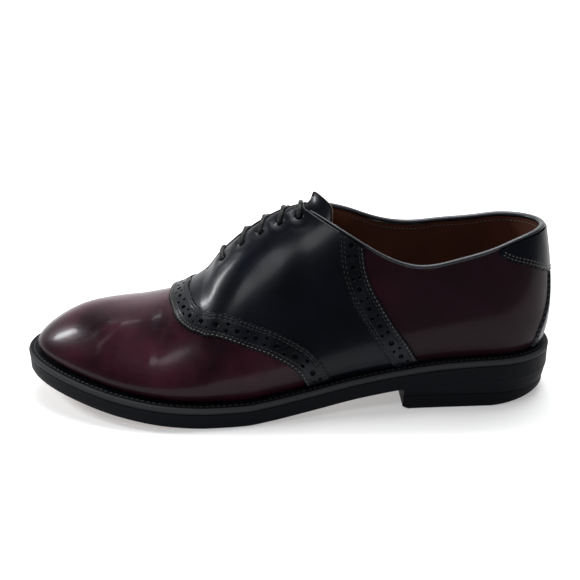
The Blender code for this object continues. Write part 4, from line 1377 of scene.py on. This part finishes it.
def build_laces():
    """A bar over the lowest eyelets, and a crossing of two legs above each of the other pairs."""
    path, back = eyelet_start(0, LATERAL), eyelet_start(0, MEDIAL)
    for side, points in ((LATERAL, path), (MEDIAL, back)):
        place, up, _ = eyelet(0, side)
        for share in (0.35, 0.7, 1.0):
            points.append(over_facing(np.array(place), side, between_up(up, share), LACE_HEIGHT))
    build_lace("lace_bar", [cord(path + back[::-1])])
    step = (waist_place(FACING_TOP) - waist_place(SLIT_FRONT)) / EYELETS * 0.5
    end = waist_place(FACING_TOP) + 0.012
    for number in range(1, EYELETS):
        legs = []
        for side in (LATERAL, MEDIAL):
            place, up, _ = eyelet(number, side)
            low, middle, far = (np.array(max(end, place + step * s)) for s in (0.45, 0.7, 0.95))
            edges = [over_facing(middle, each, 1.0, LACE_HEIGHT) for each in (LATERAL, MEDIAL)]
            centre = (edges[0] + edges[1]) / 2 - np.array((0.0, 0.0, LACE_RADIUS))
            lift = np.array((0.0, 0.0, LACE_RADIUS * LACE_FLAT * (1 if side == LATERAL else -1)))
            path = eyelet_start(number, side)
            for share in (0.4, 0.75):
                along = np.array(place + (float(low) - place) * share)
                path.append(over_facing(along, side, between_up(up, share), LACE_HEIGHT))
            path.append(over_facing(low, side, 1.0, LACE_HEIGHT))
            path.append(centre + lift)
            edge = over_facing(far, -side, 1.0, LACE_HEIGHT * 0.6)
            path.append(edge + (centre - edge) * 0.3)
            path.append(path[-1] + (centre - edge) * 0.12 - np.array((0.0, 0.0, LACE_DIP)))
            legs.append(cord(path))
        build_lace(f"lace_crossing_{number}", legs)


def build_lace(node, cords):
    points, faces = joined(cords)
    add_piece(f"{node}_cord", points, faces, (CORD,), None, node)


def between_up(up, share):
    return up + (1.0 - up) * share


# Bottom


def sole_places():
    return np.array(spread(0.0, 1.0, 40) + spread(1.0, 2.0, 50)[1:] + spread(2.0, 3.0, 60)[1:])


def outward(place, side):
    """Plan direction square to the feather edge, away from the foot."""
    ahead, behind = np.minimum(3.0, place + 0.01), np.maximum(0.0, place - 0.01)
    ax, ay = feather(ahead, side)
    bx, by = feather(behind, side)
    out = unit(np.stack((ay - by, bx - ax), -1)) * side
    out[place < 1e-6] = (1.0, 0.0)
    out[place > 3 - 1e-6] = (-1.0, 0.0)
    return out


def plan(place, side, inset, from_rim=True):
    """Plan points inside the sole's rim, or inside the feather edge. inset may vary with the share."""
    x, y = feather(place, side)
    _, share, _ = rib(place)
    inset = inset(share) if callable(inset) else inset
    reach = WELT_MARGIN * MARGIN[side](share) - inset if from_rim else -inset
    out = outward(place, side)
    return np.stack((x + out[:, 0] * reach, y + out[:, 1] * reach), -1)


def ring_around(places, inset, height, from_rim=True):
    """One closed ring of points round both sides at an inset and a height above the tread."""
    lateral = plan(places, LATERAL, inset, from_rim)
    medial = plan(places, MEDIAL, inset, from_rim)
    xy = np.concatenate((lateral, medial[-2:0:-1]))
    return np.column_stack((xy, tread(xy[:, 0]) + height))


def stacked(rings, close=False):
    """Points and faces of rings joined one above the other, capped unless they close on themselves."""
    count = len(rings[0])
    points = np.concatenate(rings)
    faces = []
    pairs = [(i, i + 1) for i in range(len(rings) - 1)] + ([(len(rings) - 1, 0)] if close else [])
    for low, high in pairs:
        for k in range(count):
            n = (k + 1) % count
            faces.append((low * count + k, low * count + n, high * count + n, high * count + k))
    return points, faces


def capped(rings):
    """Rings joined one above the other, each end closed by strips across the shoe."""
    points, faces = stacked(rings)
    count = len(rings[0])
    kinds = [0] * len(faces)
    half = count // 2
    for base, kind in ((0, 1), (len(points) - count, 0)):
        for k in range(half):
            left = [base + k, base + k + 1]
            right = [base + (count - k - 1) % count, base + (count - k) % count]
            ring = [left[0], left[1], right[0], right[1]]
            ring = [v for i, v in enumerate(ring) if v != ring[i - 1]]
            if len(set(ring)) >= 3:
                faces.append(tuple(ring) if base else tuple(reversed(ring)))
                kinds.append(kind)
    return points, faces, kinds


WELT_STITCH = Stitch(
    pitch=0.0031,
    offsets=(-0.0011, -0.0006, 0.0, 0.0006, 0.0011),
    radii=0.00042 * np.array((0.6, 0.95, 1.0, 0.95, 0.6)),
    sides=6,
    guide=(0.0, 0.1, 1.0),
    rise=(-0.0004, 0.0, 0.0002, 0.0, -0.0004),
)
WELT_STITCH_INSET = 0.0030


def build_welt():
    """The welt, its rim rounded and given a painted highlight, with a groove for its stitches."""
    low = OUTSOLE_THICKNESS + GAP
    top = low + WELT_THICKNESS
    places = sole_places()
    rings = [
        ring_around(places, WELT_INNER_EDGE, low, False),
        ring_around(places, 0.0001, low - 0.0001),
        ring_around(places, 0.0, low),
        ring_around(places, -0.0002, (low + top) / 2),
        ring_around(places, 0.0001, top - 0.0009),
        ring_around(places, 0.0006, top - 0.0002),
        ring_around(places, WELT_EDGE_ROUND, top),
        ring_around(places, 0.0026, top - 0.0004),
        ring_around(places, 0.0048, top - 0.0003),
        ring_around(places, WELT_INNER_EDGE, top, False),
    ]
    points, faces = stacked(rings, True)
    count = len(rings[0])
    # Painted highlight along the welt's rounded outer rim, through the pale mark.
    pale_tone_and_highlight = np.zeros(len(points))
    for k in (3, 4, 5):
        pale_tone_and_highlight[k * count : (k + 1) * count] = 0.35
    marks = {"pale_tone_and_highlight": pale_tone_and_highlight}
    add_piece("welt_edge", points, faces, (SOLE_EDGE,), None, "welt", marks, 60)
    build_welt_stitches(top)


def build_welt_stitches(top):
    parts = []
    for side in (LATERAL, MEDIAL):
        xy = plan(np.linspace(0.0, 3.0, 1400), side, WELT_STITCH_INSET)
        line = np.column_stack((xy, tread(xy[:, 0]) + top - 0.00015))
        parts += seam_along(line, 0.0012, 0.0, WELT_STITCH)
    build_stitches("welt_stitches", parts, BLACK_THREAD)


def build_outsole():
    """The outsole, its lower edge rounded ahead of the heel."""
    places = sole_places()
    top = OUTSOLE_THICKNESS
    breast = share_at(HEEL_CENTRE - HEEL_LENGTH)

    def rounded(size):
        return lambda share: 0.0001 + size * ramp(share, breast, breast + 0.01)

    rings = [
        ring_around(places, rounded(0.0011), 0.0),
        ring_around(places, rounded(0.0003), 0.0003),
        ring_around(places, 0.0, 0.0011),
        ring_around(places, 0.0001, top * 0.5),
        ring_around(places, 0.0, top - 0.0001),
        ring_around(places, 0.0003, top),
    ]
    points, faces, kinds = capped(rings)
    marks = {"pale_tone_and_highlight": np.zeros(len(points))}
    finishes = (SOLE_EDGE, UNDERSIDE)
    add_piece("outsole_leather", points, faces, finishes, kinds, "outsole", marks)


def build_insole():
    """The insole with its leather sock, seen through the collar."""
    places = sole_places()
    low = OUTSOLE_THICKNESS + GAP
    edge = WELT_INNER_EDGE + GAP
    rings = [
        ring_around(places, edge, low, False),
        ring_around(places, edge, low + INSOLE_THICKNESS - 0.0005, False),
        ring_around(places, edge + 0.0006, low + INSOLE_THICKNESS, False),
    ]
    points, faces, _ = capped(rings)
    marks = {"deep_tone_and_shade": np.zeros(len(points)), "pale_tone_and_highlight": np.zeros(len(points))}
    add_piece("insole_sock", points, faces, (LINING,), None, "insole", marks)


def heel_places():
    """Places along the rim from the back of the heel to its breast."""
    breast = waist_place(share_at(HEEL_CENTRE - HEEL_LENGTH))
    return np.array(spread(0.0, 1.0, 44) + spread(1.0, breast, 16)[1:])


def heel_ring(inset, height):
    """One ring of the heel, its breast a straight line across."""
    places = heel_places()
    lateral, medial = plan(places, LATERAL, inset), plan(places, MEDIAL, inset)
    across = np.linspace(0.0, 1.0, 12)[1:-1, None]
    breast = lateral[-1] + (medial[-1] - lateral[-1]) * across
    xy = np.concatenate((lateral, breast, medial[::-1][:-1]))
    return np.column_stack((xy, height(xy)))


BREAST_ROUND = 0.003
HEEL_LAYERS = 5
LAYER_GROOVE = 0.00012


def wear(xy):
    """How much the floor has taken off the back of the heel, most at its outer corner."""
    share = np.maximum(0.0, 1 - (HEEL_CENTRE - xy[:, 0]) / HEEL_WEAR_REACH)
    outer = 0.5 - xy[:, 1] / BALL_WIDTH
    return HEEL_WEAR * share**1.4 * np.clip(0.45 + 0.8 * outer, 0.35, 1.0)


def underneath(xy):
    """The heel's lower face: worn at the back, rounded up into the breast."""
    behind = np.clip(xy[:, 0] - (HEEL_CENTRE - HEEL_LENGTH), 0.0, BREAST_ROUND)
    rounded = BREAST_ROUND - np.sqrt(BREAST_ROUND**2 - (BREAST_ROUND - behind) ** 2)
    return wear(xy) + 0.9 * rounded


def heel_cap(points, faces, rings):
    """Closes the heel's lowest and highest rings with fans from their middles."""
    count = len(rings[0])
    points = list(points)
    for index, ring in ((0, rings[0]), (len(rings) - 1, rings[-1])):
        middle = len(points)
        points.append(ring.mean(axis=0))
        for k in range(count):
            a, b = index * count + k, index * count + (k + 1) % count
            faces.append((middle, b, a) if index == 0 else (middle, a, b))
    return np.array(points), faces


def build_heel():
    """The rubber lift and, on it, the stack with faint grooves between its layers."""
    top = TOP_LIFT_THICKNESS
    rings = [
        heel_ring(HEEL_TAPER + 0.0010, underneath),
        heel_ring(HEEL_TAPER + 0.0003, lambda xy: underneath(xy) * 0.95 + 0.0003),
        heel_ring(HEEL_TAPER, lambda xy: underneath(xy) * 0.9 + 0.0010),
        heel_ring(HEEL_TAPER, lambda xy: np.full(len(xy), top + 0.0001)),
        heel_ring(HEEL_TAPER + 0.0002, lambda xy: np.full(len(xy), top + 0.0002)),
    ]
    points, faces = stacked(rings)
    points, faces = heel_cap(points, faces, rings)
    marks = {"pale_tone_and_highlight": np.zeros(len(points))}
    add_piece("top_lift_rubber", points, faces, (RUBBER,), None, "top_lift", marks)
    base = top + GAP
    rings = []
    for layer in range(HEEL_LAYERS):
        low, high = layer / HEEL_LAYERS, (layer + 1) / HEEL_LAYERS
        for share, groove in ((low, LAYER_GROOVE), (low + 0.03, 0.0), (high - 0.03, 0.0)):
            inset = HEEL_TAPER * (1 - share) + groove
            rings.append(
                heel_ring(inset, lambda xy, share=share: base + (tread(xy[:, 0]) - GAP - base) * share)
            )
    rings.append(heel_ring(0.0001, lambda xy: tread(xy[:, 0]) - GAP / 6))
    points, faces = stacked(rings)
    points, faces = heel_cap(points, faces, rings)
    marks = {"pale_tone_and_highlight": np.zeros(len(points))}
    add_piece("heel_stack", points, faces, (SOLE_EDGE,), None, "heel", marks, 60)


# Stage


def build_stage():
    """A white sweep: floor, curve and wall in one sheet."""
    start, radius = 0.9, 0.8
    profile = [(-0.24, 0.0), (-0.1, 0.0), (start, 0.0)]
    for a in np.linspace(0.1, math.pi / 2, 12):
        profile.append((start + radius * math.sin(a), radius - radius * math.cos(a)))
    profile.append((start + radius, 3.0))
    points = np.array([(x, y, z) for x in (-3.5, 3.5) for y, z in profile])
    count = len(profile)
    mesh = bpy.data.meshes.new("floor")
    faces = [(k, k + 1, count + k + 1, count + k) for k in range(count - 1)]
    mesh.from_pydata(points.tolist(), [], faces)
    mesh.flip_normals()
    mesh.shade_smooth()
    paper = Finish("pale_floor")
    paper.set(Base_Color=(0.70, 0.70, 0.70, 1.0), Roughness=0.75, Specular_IOR_Level=0.0)
    paper.set(Emission_Color=(1.0, 1.0, 1.0, 1.0), Emission_Strength=0.36)
    mesh.materials.append(paper.material)
    floor = bpy.data.objects.new("floor", mesh)
    floor.location.z = -0.0002
    bpy.context.scene.collection.objects.link(floor)
    world = bpy.data.worlds.new("studio")
    world.use_nodes = True
    room = world.node_tree.nodes["Background"]
    room.inputs["Color"].default_value = (0.9, 0.93, 1.0, 1.0)
    room.inputs["Strength"].default_value = 0.16
    bpy.context.scene.world = world
    bpy.context.scene.view_settings.view_transform = "Standard"


def add_light(name, spot, aim, size, power):
    """An oval area light at a spot, aimed at a point."""
    data = bpy.data.lights.new(name, "AREA")
    data.shape = "ELLIPSE"
    data.size, data.size_y = size
    data.energy = power
    made = bpy.data.objects.new(name, data)
    made.location = spot
    made.rotation_euler = (Vector(aim) - Vector(spot)).to_track_quat("-Z", "Y").to_euler()
    bpy.context.scene.collection.objects.link(made)


CAMERA_SPOT = Vector((-0.0972, -0.4376, 0.2237))
CAMERA_YAW = -0.01065
CAMERA_PITCH = 0.3630
CAMERA_ROLL = -0.01676
FOCAL_PIXELS = 827.0
PHOTO_WIDTH = 580


def add_camera():
    """The photograph's view, solved from the shoe's own size."""
    data = bpy.data.cameras.new("camera")
    data.sensor_width = 36.0
    data.lens = FOCAL_PIXELS / PHOTO_WIDTH * data.sensor_width
    data.clip_start = 0.02
    data.clip_end = 40.0
    made = bpy.data.objects.new("camera", data)
    ahead = Vector(
        (
            math.sin(CAMERA_YAW) * math.cos(CAMERA_PITCH),
            math.cos(CAMERA_YAW) * math.cos(CAMERA_PITCH),
            -math.sin(CAMERA_PITCH),
        )
    )
    right = Vector((math.cos(CAMERA_YAW), -math.sin(CAMERA_YAW), 0.0))
    up = right.cross(ahead)
    turned = Matrix.Rotation(-CAMERA_ROLL, 3, ahead)
    right, up = turned @ right, turned @ up
    basis = Matrix((right, up, -ahead)).transposed()
    made.matrix_world = Matrix.Translation(CAMERA_SPOT) @ basis.to_4x4()
    bpy.context.scene.collection.objects.link(made)
    bpy.context.scene.camera = made


def main():
    add_camera()
    build_stage()
    add_light("overhead", (0.05, 0.45, 1.6), (-0.05, 0.1, 0.0), (1.3, 0.9), 26.0)
    add_light("wall", (-0.1, 0.7, 1.7), (-0.1, 1.7, 0.5), (1.8, 0.4), 26.0)
    add_light("left_box", (-1.16, 0.27, 0.67), (-0.19, -0.02, 0.045), (0.16, 0.40), 9.0)
    add_light("front_box", (-0.47, -0.82, 1.04), (-0.115, -0.03, 0.075), (0.5, 0.32), 3.3)
    build_upper()
    front, rear = build_strips()
    build_saddle(front, rear)
    build_heel_tab()
    build_backstay()
    build_binding()
    build_tongue()
    build_laces()
    build_insole()
    build_welt()
    build_outsole()
    build_heel()


main()
